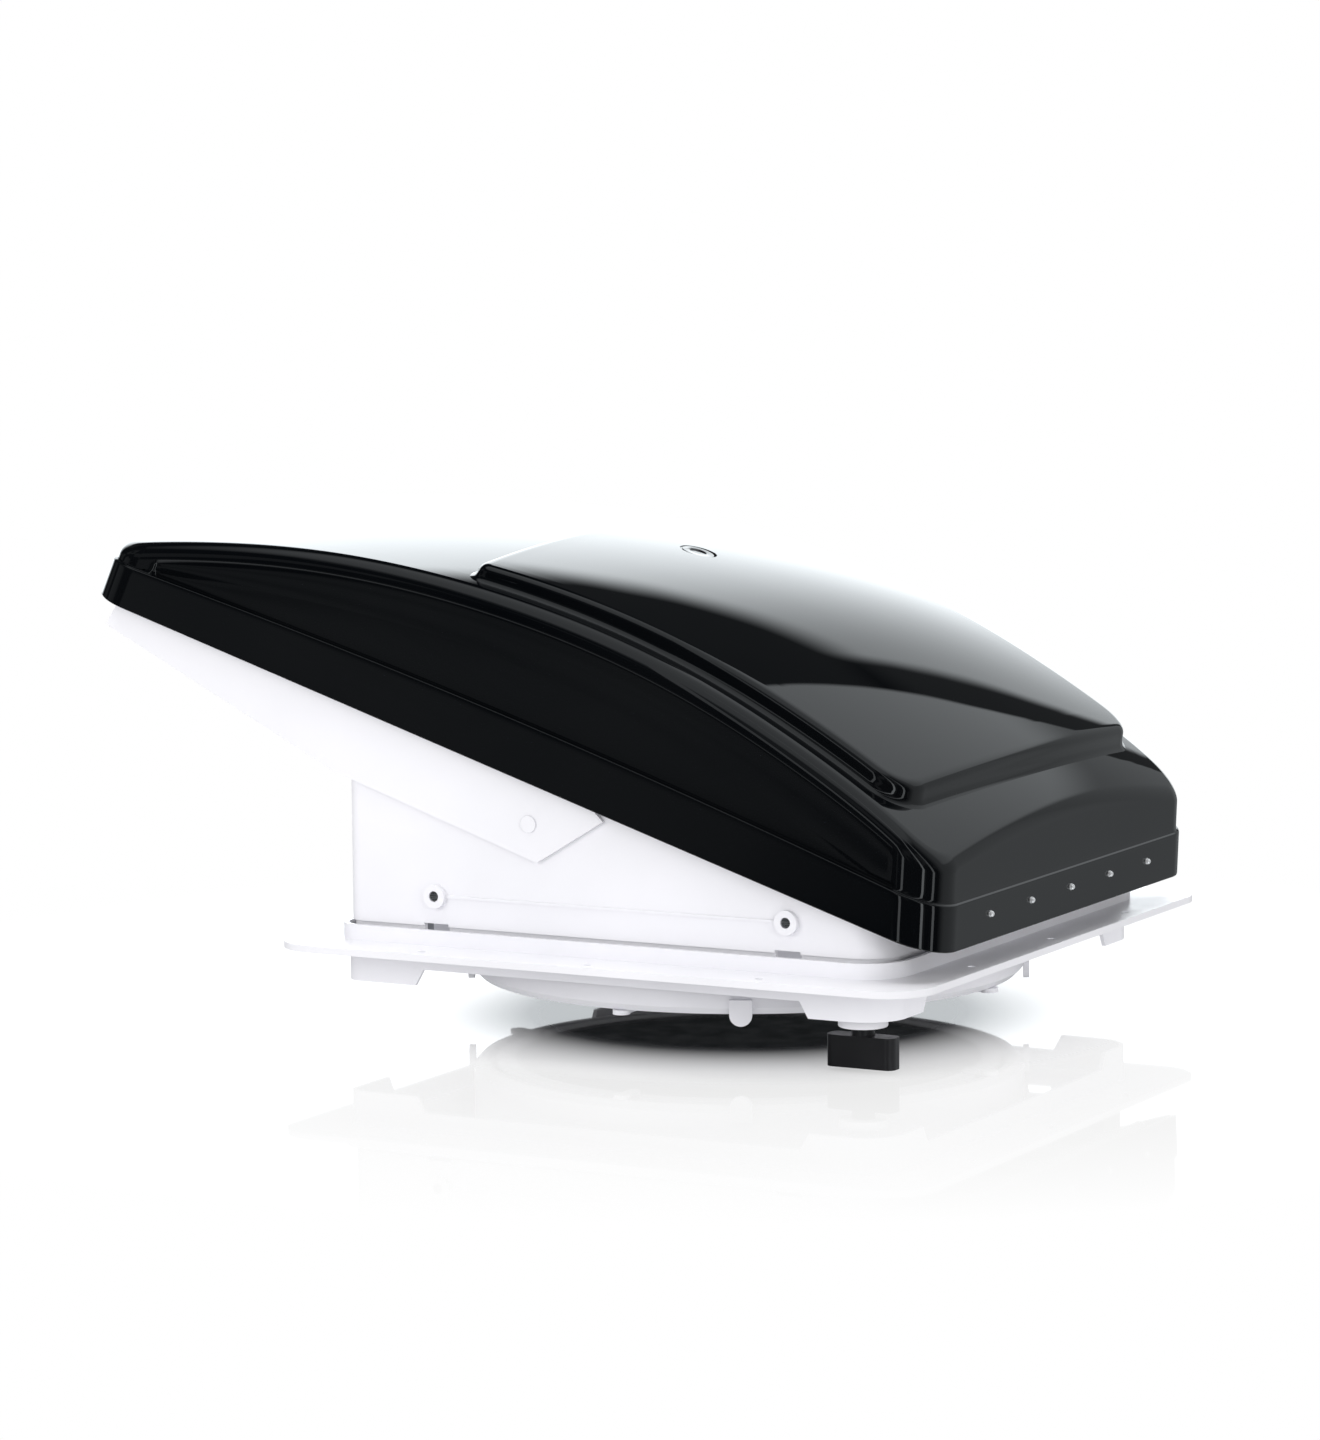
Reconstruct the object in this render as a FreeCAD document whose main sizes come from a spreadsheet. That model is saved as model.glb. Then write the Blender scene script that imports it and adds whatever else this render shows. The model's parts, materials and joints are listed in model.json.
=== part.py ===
import FreeCAD, Part
import math
import os
import Sketcher

Vector = FreeCAD.Vector
Rotation = FreeCAD.Rotation
Placement = FreeCAD.Placement

X_AXIS = Vector(1, 0, 0)
Y_AXIS = Vector(0, 1, 0)
Z_AXIS = Vector(0, 0, 1)

# The frame: origin at the centre of the roof flange's underside, +Z up out of the roof,
# +X towards the lid's hinge. The lid is drawn closed about its hinge axis and placed open.
DIMENSIONS = {
    # roof flange and its collar
    "flange_side": 413.0,
    "flange_thick": 4.0,
    "flange_corner": 28.0,
    "collar_top": 13.0,
    "collar_wall": 3.0,
    "collar_gap": 2.5,
    "insert_depth": 11.0,
    "foot_depth": 20.5,
    "foot_start": 121.0,
    "ledge_inset": 5.0,
    "screw_line": 196.0,
    "screw_pitch": 108.0,
    "roof_screw_dia": 4.5,
    # housing
    "housing_half_x": 173.0,
    "housing_half_y": 171.0,
    "housing_corner": 22.0,
    "rear_ease": 12.0,
    "wall": 2.5,
    "neck_inset": 1.5,
    "housing_low": 14.6,
    "housing_front": 58.0,
    "housing_mid": 92.0,
    "housing_rear": 98.0,
    "housing_knee": 10.0,
    "boss_x": 113.0,
    "boss_z": 32.3,
    "boss_dia": 14.0,
    "boss_depth": 3.0,
    "side_screw_dia": 4.0,
    "notch_width": 16.0,
    # fan deck and ring
    "deck_low": 19.0,
    "deck_thick": 3.0,
    "deck_bore": 309.0,
    "ring_outer": 163.0,
    "ring_inner": 151.0,
    "ring_low": -27.0,
    "lug_angle": 25.8,
    # fan and motor
    "fan_tip": 147.5,
    "fan_hub": 35.0,
    "fan_low": -10.0,
    "fan_high": 20.0,
    "blade_count": 10,
    "blade_chord": 52.0,
    "blade_thick": 2.2,
    "blade_pitch": 32.0,
    "shaft_dia": 6.0,
    "bracket_low": 30.0,
    "bracket_thick": 3.0,
    "motor_dia": 56.0,
    "motor_high": 64.0,
    # screen
    "screen_radius": 149.5,
    "screen_rim": 11.5,
    "latch_radius": 157.0,
    "ring_screw_reach": 157.0,
    "foot_screw_reach": 164.0,
    "wire_way_at": 138.0,
    "foot_slant": 6.0,
    # lid hinge and lid
    "hinge_x": 198.0,
    "hinge_z": 22.6,
    "open_angle": 18.0,
    "pin_dia": 5.0,
    "knuckle_dia": 9.0,
    "knuckle_pitch": 25.0,
    "lid_front": 10.0,
    "lid_rear": 572.0,
    "lid_half": 180.5,
    "lid_corner": 28.0,
    "lid_wall": 2.4,
    "lid_step": 2.0,
    "lid_crown": 12.0,
    "front_lean": 15.0,
    "rear_lean": 5.5,
    "side_lean": 1.0,
    "panel_front": 42.0,
    "panel_rear": 338.0,
    "panel_half": 158.0,
    "panel_rise": 9.0,
    "gate_dia": 22.5,
    "gate_u": 279.0,
    "gate_floor": 115.2,
    "rivet_dia": 8.4,
    "rivet_rise": 2.6,
    "rivet_pitch": 55.0,
    "rivet_high": 15.0,
    # lift
    "lift_x": 121.0,
    "lift_z": 48.0,
    "arm_length": 148.15,
    "arm_angle": 49.5,
    "lift_shaft_dia": 8.0,
    "track_w": 78.0,
    "track_u": 211.5,
    "worm_x": 148.0,
    "worm_y": -147.5,
    "worm_pitch_radius": 7.0,
    "wheel_teeth": 24,
    "tooth_depth": 2.0,
    "knob_low": -50.0,
    "knob_length": 42.0,
    "knob_width": 13.0,
    # rain shield
    "pivot_x": -50.0,
    "pivot_z": 78.0,
    "cheek_inner": 171.8,
    "cheek_thick": 1.8,
}

doc = FreeCAD.newDocument("roof_vent_cover")
sheet = doc.addObject("Spreadsheet::Sheet", "dims")
for row, (alias, value) in enumerate(DIMENSIONS.items(), start=1):
    sheet.set("A%d" % row, alias)
    sheet.set("B%d" % row, str(value))
    sheet.setAlias("B%d" % row, alias)
doc.recompute()


def size(alias):
    return float(sheet.get(alias))


# ---------------------------------------------------------------- small builders

def bind(item, **expressions):
    """Bind properties to sheet expressions; a double underscore stands for a dot."""
    for path, text in expressions.items():
        item.setExpression(path.replace("__", "."), str(text))
    return item


def place(item, at, turn=None):
    """Bind an object's position, and turn it about an axis by an angle expression."""
    if turn:
        axis, angle = turn
        item.Placement = Placement(Vector(), Rotation(axis, 1.0))
        bind(item, Placement__Rotation__Angle=angle)
    for name, text in zip("xyz", at):
        item.setExpression("Placement.Base." + name, str(text))
    return item


def box(name, length, width, height, at, turn=None):
    item = doc.addObject("Part::Box", name)
    bind(item, Length=length, Width=width, Height=height)
    return place(item, at, turn)


def rod(name, radius, length, at, turn=None):
    item = doc.addObject("Part::Cylinder", name)
    bind(item, Radius=radius, Height=length)
    return place(item, at, turn)


def joined(name, pieces):
    item = doc.addObject("Part::MultiFuse", name)
    item.Shapes = pieces
    return item


def cut(name, base, tools):
    item = doc.addObject("Part::Cut", name)
    item.Base = base
    item.Tool = tools[0] if len(tools) == 1 else joined(name + "_tools", tools)
    return item


def grouped(name, pieces):
    """Several separate solids of one kind as one object."""
    item = doc.addObject("Part::Compound", name)
    item.Links = pieces
    return item


def formed(name, shape, at=None, turn=None):
    """A freeform piece whose shape is worked out below, with a bound placement."""
    item = doc.addObject("Part::Feature", name)
    item.Shape = shape
    place(item, at or (0, 0, 0), turn)
    return item


NODES = []


def node(item, label):
    item.Label = label
    NODES.append(item)
    return item


def origin_plane(body, role):
    return next(f for f in body.Origin.OriginFeatures if f.Role == role)


def rounded(body, base, name, side, radius):
    """Rounds the upright edges on one side of x = 0."""
    doc.recompute()
    edges = ["Edge%d" % (i + 1) for i, e in enumerate(base.Shape.Edges)
             if is_upright(e) and side * e.Vertexes[0].Point.x > 0]
    fillet = body.newObject("PartDesign::Fillet", name)
    fillet.Base = (base, edges)
    fillet.setExpression("Radius", radius)
    return fillet


def block_body(name, half_x, half_y, low, height, corner, rear_ease="dims.rear_ease"):
    """A rounded square block as a body: a bound rectangle sketch, a pad and its corners.
    The rear corners are tighter than the front ones by the rear ease."""
    body = doc.addObject("PartDesign::Body", name)
    sketch = body.newObject("Sketcher::SketchObject", name + "_sketch")
    sketch.AttachmentSupport = (origin_plane(body, "XY_Plane"), [""])
    sketch.MapMode = "FlatFace"
    corners = [Vector(-1, -1, 0), Vector(1, -1, 0), Vector(1, 1, 0), Vector(-1, 1, 0)]
    for index in range(4):
        sketch.addGeometry(Part.LineSegment(corners[index], corners[(index + 1) % 4]), False)
    for index in range(4):
        add_constraint(sketch, "Coincident", index, 2, (index + 1) % 4, 1)
    for index in (0, 2):
        add_constraint(sketch, "Horizontal", index)
    for index in (1, 3):
        add_constraint(sketch, "Vertical", index)
    add_constraint(sketch, "Symmetric", 0, 1, 2, 1, -1, 1)
    width = add_constraint(sketch, "DistanceX", 0, 1, 0, 2, 2.0)
    depth = add_constraint(sketch, "DistanceY", 1, 1, 1, 2, 2.0)
    sketch.setExpression("Constraints[%d]" % width, "2 * (%s)" % half_x)
    sketch.setExpression("Constraints[%d]" % depth, "2 * (%s)" % half_y)
    sketch.setExpression("AttachmentOffset.Base.z", str(low))
    pad = body.newObject("PartDesign::Pad", name + "_pad")
    pad.Profile = sketch
    pad.setExpression("Length", str(height))
    front = rounded(body, pad, name + "_front", 1, str(corner))
    rounded(body, front, name + "_rear", -1, "%s - %s" % (corner, rear_ease))
    return body


def add_constraint(sketch, *parts):
    return sketch.addConstraint(Sketcher.Constraint(*parts))


def is_upright(edge):
    first, last = edge.Vertexes[0].Point, edge.Vertexes[-1].Point
    return abs(first.x - last.x) < 1e-6 and abs(first.y - last.y) < 1e-6


def turned_body(name, outline):
    """A ring or knob as a body: an outline of (radius, height) points turned about Z."""
    body = doc.addObject("PartDesign::Body", name)
    sketch = body.newObject("Sketcher::SketchObject", name + "_sketch")
    sketch.AttachmentSupport = (origin_plane(body, "XZ_Plane"), [""])
    sketch.MapMode = "FlatFace"
    points = [Vector(r, z, 0) for r, z in outline]
    for first, last in zip(points, points[1:] + points[:1]):
        sketch.addGeometry(Part.LineSegment(first, last), False)
    turn = body.newObject("PartDesign::Revolution", name + "_turn")
    turn.Profile = sketch
    turn.ReferenceAxis = (sketch, ["V_Axis"])
    turn.Angle = 360
    return body


def plate_body(name, outline, thickness, y_low):
    """A plate drawn in the XZ plane as a body, from y_low for its thickness towards +Y."""
    body = doc.addObject("PartDesign::Body", name)
    sketch = body.newObject("Sketcher::SketchObject", name + "_sketch")
    sketch.AttachmentSupport = (origin_plane(body, "XZ_Plane"), [""])
    sketch.MapMode = "FlatFace"
    points = [Vector(x, z, 0) for x, z in outline]
    for first, last in zip(points, points[1:] + points[:1]):
        sketch.addGeometry(Part.LineSegment(first, last), False)
    sketch.setExpression("AttachmentOffset.Base.z", "-(%s)" % y_low)
    pad = body.newObject("PartDesign::Pad", name + "_pad")
    pad.Profile = sketch
    pad.Reversed = True
    pad.setExpression("Length", str(thickness))
    return body


ALONG_Y = (X_AXIS, -90)


# ---------------------------------------------------------------- roof flange

def build_flange():
    plate = block_body("flange_plate", "dims.flange_side / 2", "dims.flange_side / 2",
                       0, "dims.flange_thick", "dims.flange_corner", "0")
    collar = block_body("flange_collar", "dims.housing_half_x + dims.collar_gap + dims.collar_wall",
                        "dims.housing_half_y + dims.collar_gap + dims.collar_wall",
                        0, "dims.collar_top", "dims.housing_corner + 5.5")
    collar_room = block_body("collar_room", "dims.housing_half_x + dims.collar_gap",
                             "dims.housing_half_y + dims.collar_gap", "dims.flange_thick",
                             "dims.collar_top", "dims.housing_corner + 2.5")
    insert = block_body("flange_insert", "dims.housing_half_x + 2", "dims.housing_half_y + 2",
                        "-dims.foot_depth", "dims.foot_depth", "dims.housing_corner + 2")
    insert_room = block_body("insert_room", "dims.housing_half_x + 2 - dims.wall",
                             "dims.housing_half_y + 2 - dims.wall",
                             "-dims.foot_depth - 1", "dims.foot_depth + 1", "dims.housing_corner - 0.5")
    throat = block_body("flange_throat", "dims.housing_half_x - dims.ledge_inset",
                        "dims.housing_half_y - dims.ledge_inset", -1, 10, "dims.housing_corner - 5")
    high, low, start = -size("insert_depth"), -size("foot_depth") - 1, size("foot_start")
    wide = start + size("foot_slant")
    gap = [(-start, high), (start, high), (wide, low), (-wide, low)]
    long_cut = plate_body("insert_cut_x", gap, 500, -250)
    wide_cut = place(plate_body("insert_cut_y", gap, 500, -250), (0, 0, 0), (Z_AXIS, 90))
    holes = [rod("roof_hole_%d_%d_%s" % (i, j, side), "dims.roof_screw_dia / 2", 20, at)
             for i, line in enumerate(("-dims.screw_line", "dims.screw_line"))
             for j, step in enumerate(("-dims.screw_pitch", 0, "dims.screw_pitch"))
             for side, at in (("x", (line, step, -5)), ("y", (step, line, -5)))]
    solid = joined("flange_solid", [plate, collar, insert])
    cuts = [collar_room, insert_room, throat, long_cut, wide_cut] + holes
    node(cut("flange_node", solid, cuts), "roof_flange")

    seal = block_body("seal_outer", "dims.housing_half_x + dims.collar_gap - 0.1",
                      "dims.housing_half_y + dims.collar_gap - 0.1",
                      "dims.flange_thick", 6, "dims.housing_corner + 2.4")
    seal_room = block_body("seal_inner", "dims.housing_half_x - dims.neck_inset + 0.1",
                           "dims.housing_half_y - dims.neck_inset + 0.1",
                           "dims.flange_thick - 1", 8, "dims.housing_corner - 1.4")
    node(cut("seal_node", seal, [seal_room]), "housing_seal")


# ---------------------------------------------------------------- base housing

def build_housing():
    low = "dims.housing_low"
    outer = block_body("housing_outer", "dims.housing_half_x", "dims.housing_half_y",
                       low, "dims.housing_rear - dims.housing_low + 2", "dims.housing_corner")
    room = block_body("housing_room", "dims.housing_half_x - dims.wall",
                      "dims.housing_half_y - dims.wall", "dims.deck_low",
                      120, "dims.housing_corner - dims.wall")
    neck = block_body("housing_neck", "dims.housing_half_x - dims.neck_inset",
                      "dims.housing_half_y - dims.neck_inset", "dims.flange_thick",
                      "dims.deck_low - dims.flange_thick", "dims.housing_corner - dims.neck_inset")
    neck_room = block_body("neck_room", "dims.housing_half_x - dims.neck_inset - dims.wall",
                           "dims.housing_half_y - dims.neck_inset - dims.wall",
                           0, 40, "dims.housing_corner - dims.neck_inset - dims.wall")
    far = size("housing_half_x") + 5
    slope = [(far, size("housing_front") - 1), (size("housing_knee"), size("housing_mid")),
             (-far, size("housing_rear")), (-far, 130), (far, 130)]
    slope_cut = plate_body("housing_slope", slope, 500, -250)
    bosses = []
    bores = []
    for side, sign in (("near", -1), ("far", 1)):
        for end, x in (("rear", "-dims.boss_x"), ("front", "dims.boss_x")):
            face = "%d * (dims.housing_half_y - 0.5)" % sign
            tip = "%d * (dims.housing_half_y + dims.boss_depth)" % sign
            name = "%s_%s" % (side, end)
            outward = (X_AXIS, 90 if sign < 0 else -90)
            inward = (X_AXIS, -90 if sign < 0 else 90)
            bosses.append(rod("boss_" + name, "dims.boss_dia / 2", "dims.boss_depth + 0.5",
                              (x, face, "dims.boss_z"), outward))
            bores.append(rod("boss_sink_" + name, 3.1, "dims.boss_depth - 0.2",
                             (x, tip, "dims.boss_z"), inward))
            bores.append(rod("boss_bore_" + name, "dims.side_screw_dia / 2 + 0.3", 12,
                             (x, tip, "dims.boss_z"), inward))
            bores.append(box("notch_" + name, "dims.notch_width", 12, 5.2,
                             (x + " - dims.notch_width / 2",
                              "%d * (dims.housing_half_y - 1) - 6" % sign, 11)))
        bosses.append(box("side_ridge_" + side, "2 * dims.boss_x", 1.5, 1.6,
                          ("-dims.boss_x", ("-dims.housing_half_y - 1" if sign < 0
                                            else "dims.housing_half_y - 0.5"), "dims.boss_z - 0.8")))
    drip = box("rear_drip_lip", 4, 290, 2.5,
               ("-dims.housing_half_x - 3", -145, "dims.housing_rear - 3"))
    for y in (-100, -40, 40, 100):
        bores.append(rod("leaf_bore_%d" % y, 2, 12, ("dims.housing_half_x - 6", y, 40), (Y_AXIS, 90)))
    for sign in (-1, 1):
        bores.append(rod("pivot_bore_%d" % sign, 2.5, 12,
                         ("dims.pivot_x", "%d * dims.housing_half_y - 6" % sign, "dims.pivot_z"), ALONG_Y))
    shell = cut("housing_walls", joined("housing_solid", [outer, neck] + bosses),
                [room, neck_room, slope_cut])
    node(cut("housing_node", joined("housing_lipped", [shell, drip]), bores), "base_housing")

    screws = []
    for side, sign in (("near", -1), ("far", 1)):
        for end, x in (("rear", "-dims.boss_x"), ("front", "dims.boss_x")):
            name = "%s_%s" % (side, end)
            inward = (X_AXIS, -90 if sign < 0 else 90)
            head = rod("side_head_" + name, 2.7, 2.0,
                       (x, "%d * (dims.housing_half_y + 2.2)" % sign, "dims.boss_z"), inward)
            shank = rod("side_shank_" + name, "dims.side_screw_dia / 2", 8.2,
                        (x, "%d * (dims.housing_half_y + 1.2)" % sign, "dims.boss_z"), inward)
            screws.append(joined("side_screw_" + name, [head, shank]))
    node(grouped("side_screws", screws), "housing_screws")


# ---------------------------------------------------------------- deck and fan ring

def build_deck():
    deck = block_body("deck_plate", "dims.housing_half_x - dims.wall - 0.1",
                      "dims.housing_half_y - dims.wall - 0.1",
                      "dims.deck_low", "dims.deck_thick", "dims.housing_corner - dims.wall - 0.1")
    tabs = []
    holes = [rod("deck_bore", "dims.deck_bore / 2", 20, (0, 0, 10))]
    for sign in (-1, 1):
        for end, x in (("rear", "-dims.boss_x"), ("front", "dims.boss_x")):
            wall_face = "dims.housing_half_y - dims.wall"
            low_y = "-(%s)" % wall_face if sign < 0 else "%s - 3" % wall_face
            tabs.append(box("deck_tab_%d_%s" % (sign, end), 18, 3, 21,
                            (x + " - 9", low_y, "dims.deck_low + 2")))
            holes.append(rod("tab_bore_%d_%s" % (sign, end), "dims.side_screw_dia / 2", 20,
                             (x, "%d * dims.housing_half_y - 10" % sign, "dims.boss_z"), ALONG_Y))
    for index in range(4):
        holes.append(polar_rod("ring_screw_bore_%d" % index, 2, 20, "dims.ring_screw_reach",
                               45 + 90 * index, 10))
        holes.append(polar_rod("foot_screw_bore_%d" % index, 2, 20, "dims.foot_screw_reach",
                               90 * index, 10))
    holes.append(rod("knob_shaft_way", 4.3, 20, ("dims.worm_x", "dims.worm_y", 10)))
    holes.append(rod("wire_way", 7, 20, ("dims.wire_way_at", "dims.wire_way_at", 10)))
    node(cut("deck_node", joined("deck_solid", [deck] + tabs), holes), "fan_deck")


def polar_rod(name, radius, length, reach, angle, low):
    return rod(name, radius, length,
               ("%s * cos(%s deg)" % (reach, angle), "%s * sin(%s deg)" % (reach, angle), low))


def build_ring():
    outer, inner, low = size("ring_outer"), size("ring_inner"), size("ring_low")
    high, wall, ease = size("deck_low"), size("wall"), 4.0
    outline = [(inner, high), (inner, low + ease), (inner + ease, low), (outer - ease, low),
               (outer, low + ease), (outer, high), (outer - wall, high),
               (outer - wall, low + ease), (outer - ease - 0.5, low + wall),
               (inner + ease + 0.5, low + wall), (inner + wall, low + ease), (inner + wall, high)]
    ring = turned_body("ring_turned", outline)
    bosses = []
    holes = []
    for index in range(4):
        angle = 45 + 90 * index
        bosses.append(polar_rod("ring_boss_%d" % index, 4.5, 24, "dims.ring_screw_reach",
                                angle, "dims.deck_low - 24"))
        holes.append(polar_rod("ring_boss_bore_%d" % index, 2, 20, "dims.ring_screw_reach",
                               angle, "dims.deck_low - 18"))
        holes.append(polar_rod("latch_bore_%d" % index, 1.55, 6, "dims.latch_radius", 90 * index, -29))
    lugs = []
    for index in range(4):
        angle = "%s + %d" % ("dims.lug_angle", 90 * index)
        upper = box("lug_plate_%d" % index, 3.5, 13, 8.5, (162.5, -6.5, -26.5))
        lower = rod("lug_round_%d" % index, 6.5, 3.5, (162.5, 0, -26.5), (Y_AXIS, 90))
        lugs.append(place(joined("lug_%d" % index, [upper, lower]), (0, 0, 0), (Z_AXIS, angle)))
    node(cut("ring_node", joined("ring_solid", [ring] + bosses + lugs), holes), "fan_ring")

    screws = []
    for index in range(4):
        angle = 45 + 90 * index
        head = polar_rod("ring_head_%d" % index, 3.8, 2.2, "dims.ring_screw_reach",
                         angle, "dims.deck_low + dims.deck_thick")
        shank = polar_rod("ring_shank_%d" % index, 2, 16, "dims.ring_screw_reach", angle, 7)
        screws.append(joined("ring_screw_%d" % index, [head, shank]))
    node(grouped("ring_screw_set", screws), "ring_screws")


# ---------------------------------------------------------------- motor and fan

def build_motor():
    low, thick = "dims.bracket_low", "dims.bracket_thick"
    pieces = [rod("bracket_disc", 36, thick, (0, 0, low))]
    holes = [rod("bracket_eye", 8, 10, (0, 0, 28))]
    screws = []
    for index in range(4):
        turn = (Z_AXIS, 90 * index)
        arm = box("arm_bar_%d" % index, 128, 14, thick, (30, -7, low))
        leg = box("arm_leg_%d" % index, 3, 14, 11, (155.5, -7, 22))
        foot = box("arm_foot_%d" % index, 12, 14, 2.5, (156, -7, 22))
        pieces.append(place(joined("arm_%d" % index, [arm, leg, foot]), (0, 0, 0), turn))
        holes.append(polar_rod("foot_bore_%d" % index, 2.3, 6, "dims.foot_screw_reach",
                               90 * index, 21))
        head = polar_rod("foot_head_%d" % index, 3.6, 2, "dims.foot_screw_reach", 90 * index, 24.5)
        shank = polar_rod("foot_shank_%d" % index, 2, 6, "dims.foot_screw_reach", 90 * index, 19)
        screws.append(joined("foot_screw_%d" % index, [head, shank]))
    motor_screws = []
    motor_holes = []
    for index in range(3):
        angle = 30 + 120 * index
        holes.append(polar_rod("motor_bore_%d" % index, 1.7, 10, 20, angle, 27))
        motor_holes.append(polar_rod("motor_thread_%d" % index, 1.5, 6, 20, angle, 32))
        head = polar_rod("motor_head_%d" % index, 3, 2, 20, angle, 28)
        shank = polar_rod("motor_shank_%d" % index, 1.5, 8, 20, angle, 30)
        motor_screws.append(joined("motor_screw_%d" % index, [head, shank]))
    node(cut("bracket_node", joined("bracket_solid", pieces), holes), "motor_bracket")
    node(grouped("foot_screws", screws), "bracket_screws")

    can = rod("motor_can", "dims.motor_dia / 2", "dims.motor_high - dims.bracket_low - dims.bracket_thick",
              (0, 0, "dims.bracket_low + dims.bracket_thick"))
    spigot = rod("motor_spigot", 7.5, 4, (0, 0, 30))
    terminal = box("motor_terminal", 12, 16, 14, (24, -8, 38))
    bore = rod("motor_bore", "dims.shaft_dia / 2 + 0.05", 26, (0, 0, 28))
    motor = joined("motor_solid", [can, spigot, terminal])
    node(cut("motor_node", motor, [bore] + motor_holes), "fan_motor")
    node(grouped("motor_screw_set", motor_screws), "motor_screws")

    shaft = rod("fan_shaft_rod", "dims.shaft_dia / 2", 66, (0, 0, -14))
    node(shaft, "fan_shaft")
    nut = rod("fan_nut_round", 6, 4, (0, 0, "dims.fan_low - 4"))
    nut_bore = rod("fan_nut_bore", "dims.shaft_dia / 2", 10, (0, 0, "dims.fan_low - 7"))
    node(cut("fan_nut_node", nut, [nut_bore]), "fan_nut")


def build_fan():
    hub = rod("hub_round", "dims.fan_hub", "dims.fan_high - dims.fan_low", (0, 0, "dims.fan_low"))
    hollow = rod("hub_hollow", "dims.fan_hub - 3", 40, (0, 0, "dims.fan_low + 3"))
    stem = rod("hub_stem", 7, "dims.fan_high - dims.fan_low - 3", (0, 0, "dims.fan_low"))
    bore = rod("hub_bore", "dims.shaft_dia / 2", 60, (0, 0, -30))
    blades = []
    for index in range(int(size("blade_count"))):
        blade = box("blade_%d" % index, "dims.fan_tip + 2 - dims.fan_hub", "dims.blade_chord",
                    "dims.blade_thick", (0, "-dims.blade_chord / 2", "-dims.blade_thick / 2"))
        pitched = place(joined("blade_pitched_%d" % index, [blade, blade_root(index)]),
                        ("dims.fan_hub - 1", 0, 5), (X_AXIS, "dims.blade_pitch"))
        seed = rod("blade_seed_%d" % index, 0.5, 1, (36, 0, 5))
        placed = joined("blade_placed_%d" % index, [pitched, seed])
        blades.append(place(placed, (0, 0, 0), (Z_AXIS, 360.0 / size("blade_count") * index)))
    swept = doc.addObject("Part::MultiCommon", "blades_trimmed")
    disc = rod("blade_disc", "dims.fan_tip", 60, (0, 0, -30))
    swept.Shapes = [joined("blade_set", blades), disc]
    rim = cut("hub_shell", hub, [hollow])
    node(cut("fan_node", joined("fan_solid", [rim, stem, swept]), [bore]), "fan_rotor")


def blade_root(index):
    """A short thickening where the blade leaves the hub."""
    return box("blade_root_%d" % index, 6, 30, 3.4, (0, -15, -1.7))


# ---------------------------------------------------------------- insect screen

def build_screen():
    radius, rim = "dims.screen_radius", "dims.screen_rim"
    frame = rod("screen_disc", radius, 4, (0, 0, "dims.ring_low"))
    opening = rod("screen_opening", "%s - %s" % (radius, rim), 10, (0, 0, "dims.ring_low - 3"))
    node(cut("screen_frame_node", frame, [opening]), "screen_frame")
    mesh = rod("screen_mesh_disc", "%s - %s" % (radius, rim), 0.8, (0, 0, "dims.ring_low + 1.4"))
    node(mesh, "insect_screen")
    for index in range(4):
        turn = (Z_AXIS, 90 * index)
        button = rod("latch_button_%d" % index, 5, 2.6, ("dims.latch_radius", 0, -29.9))
        finger = box("latch_finger_%d" % index, 16, 6, 2.6, ("dims.latch_radius - 16", -3, -29.9))
        stud = rod("latch_stud_%d" % index, 1.5, 4.6, ("dims.latch_radius", 0, -28.5))
        latch = place(joined("latch_%d" % index, [button, finger, stud]), (0, 0, 0), turn)
        node(latch, "screen_latch_%d" % (index + 1))


# ---------------------------------------------------------------- controls

def build_controls():
    outer = box("control_outer", 40, 40, "dims.deck_low + 12", (-160, 120, -12))
    room = box("control_room", 36, 36, 40, (-158, 122, -10))
    ways = [rod("button_way_%d" % i, 4, 6, (-151 + 11 * i, 140, -14)) for i in range(3)]
    node(cut("control_node", outer, [room] + ways), "control_box")
    node(box("board_plate", 36, 36, 1.6, (-158, 122, 2)), "circuit_board")
    for index in range(3):
        cap = rod("button_cap_%d" % index, 3.7, 6.5, (-151 + 11 * index, 140, -14.6))
        brim = rod("button_brim_%d" % index, 4.9, 1.2, (-151 + 11 * index, 140, -9.7))
        node(joined("button_%d" % index, [cap, brim]), "keypad_button_%d" % (index + 1))
    node(rod("thermostat_round", 6, 14, (-140, -140, "dims.deck_low - 14")), "thermostat_sensor")
    tube = rod("grommet_tube", 7, 8, ("dims.wire_way_at", "dims.wire_way_at", 16))
    low_rim = rod("grommet_low_rim", 9.5, 2, ("dims.wire_way_at", "dims.wire_way_at", "dims.deck_low - 2"))
    high_rim = rod("grommet_high_rim", 9.5, 2,
                   ("dims.wire_way_at", "dims.wire_way_at", "dims.deck_low + dims.deck_thick"))
    way = rod("grommet_way", 4, 20, ("dims.wire_way_at", "dims.wire_way_at", 10))
    node(cut("grommet_node", joined("grommet_solid", [tube, low_rim, high_rim]), [way]), "wire_grommet")


# ---------------------------------------------------------------- lid hinge

KNUCKLES = 10


def knuckle_start(index):
    return "dims.knuckle_pitch * %d + 0.15" % (index - KNUCKLES // 2)


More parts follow.
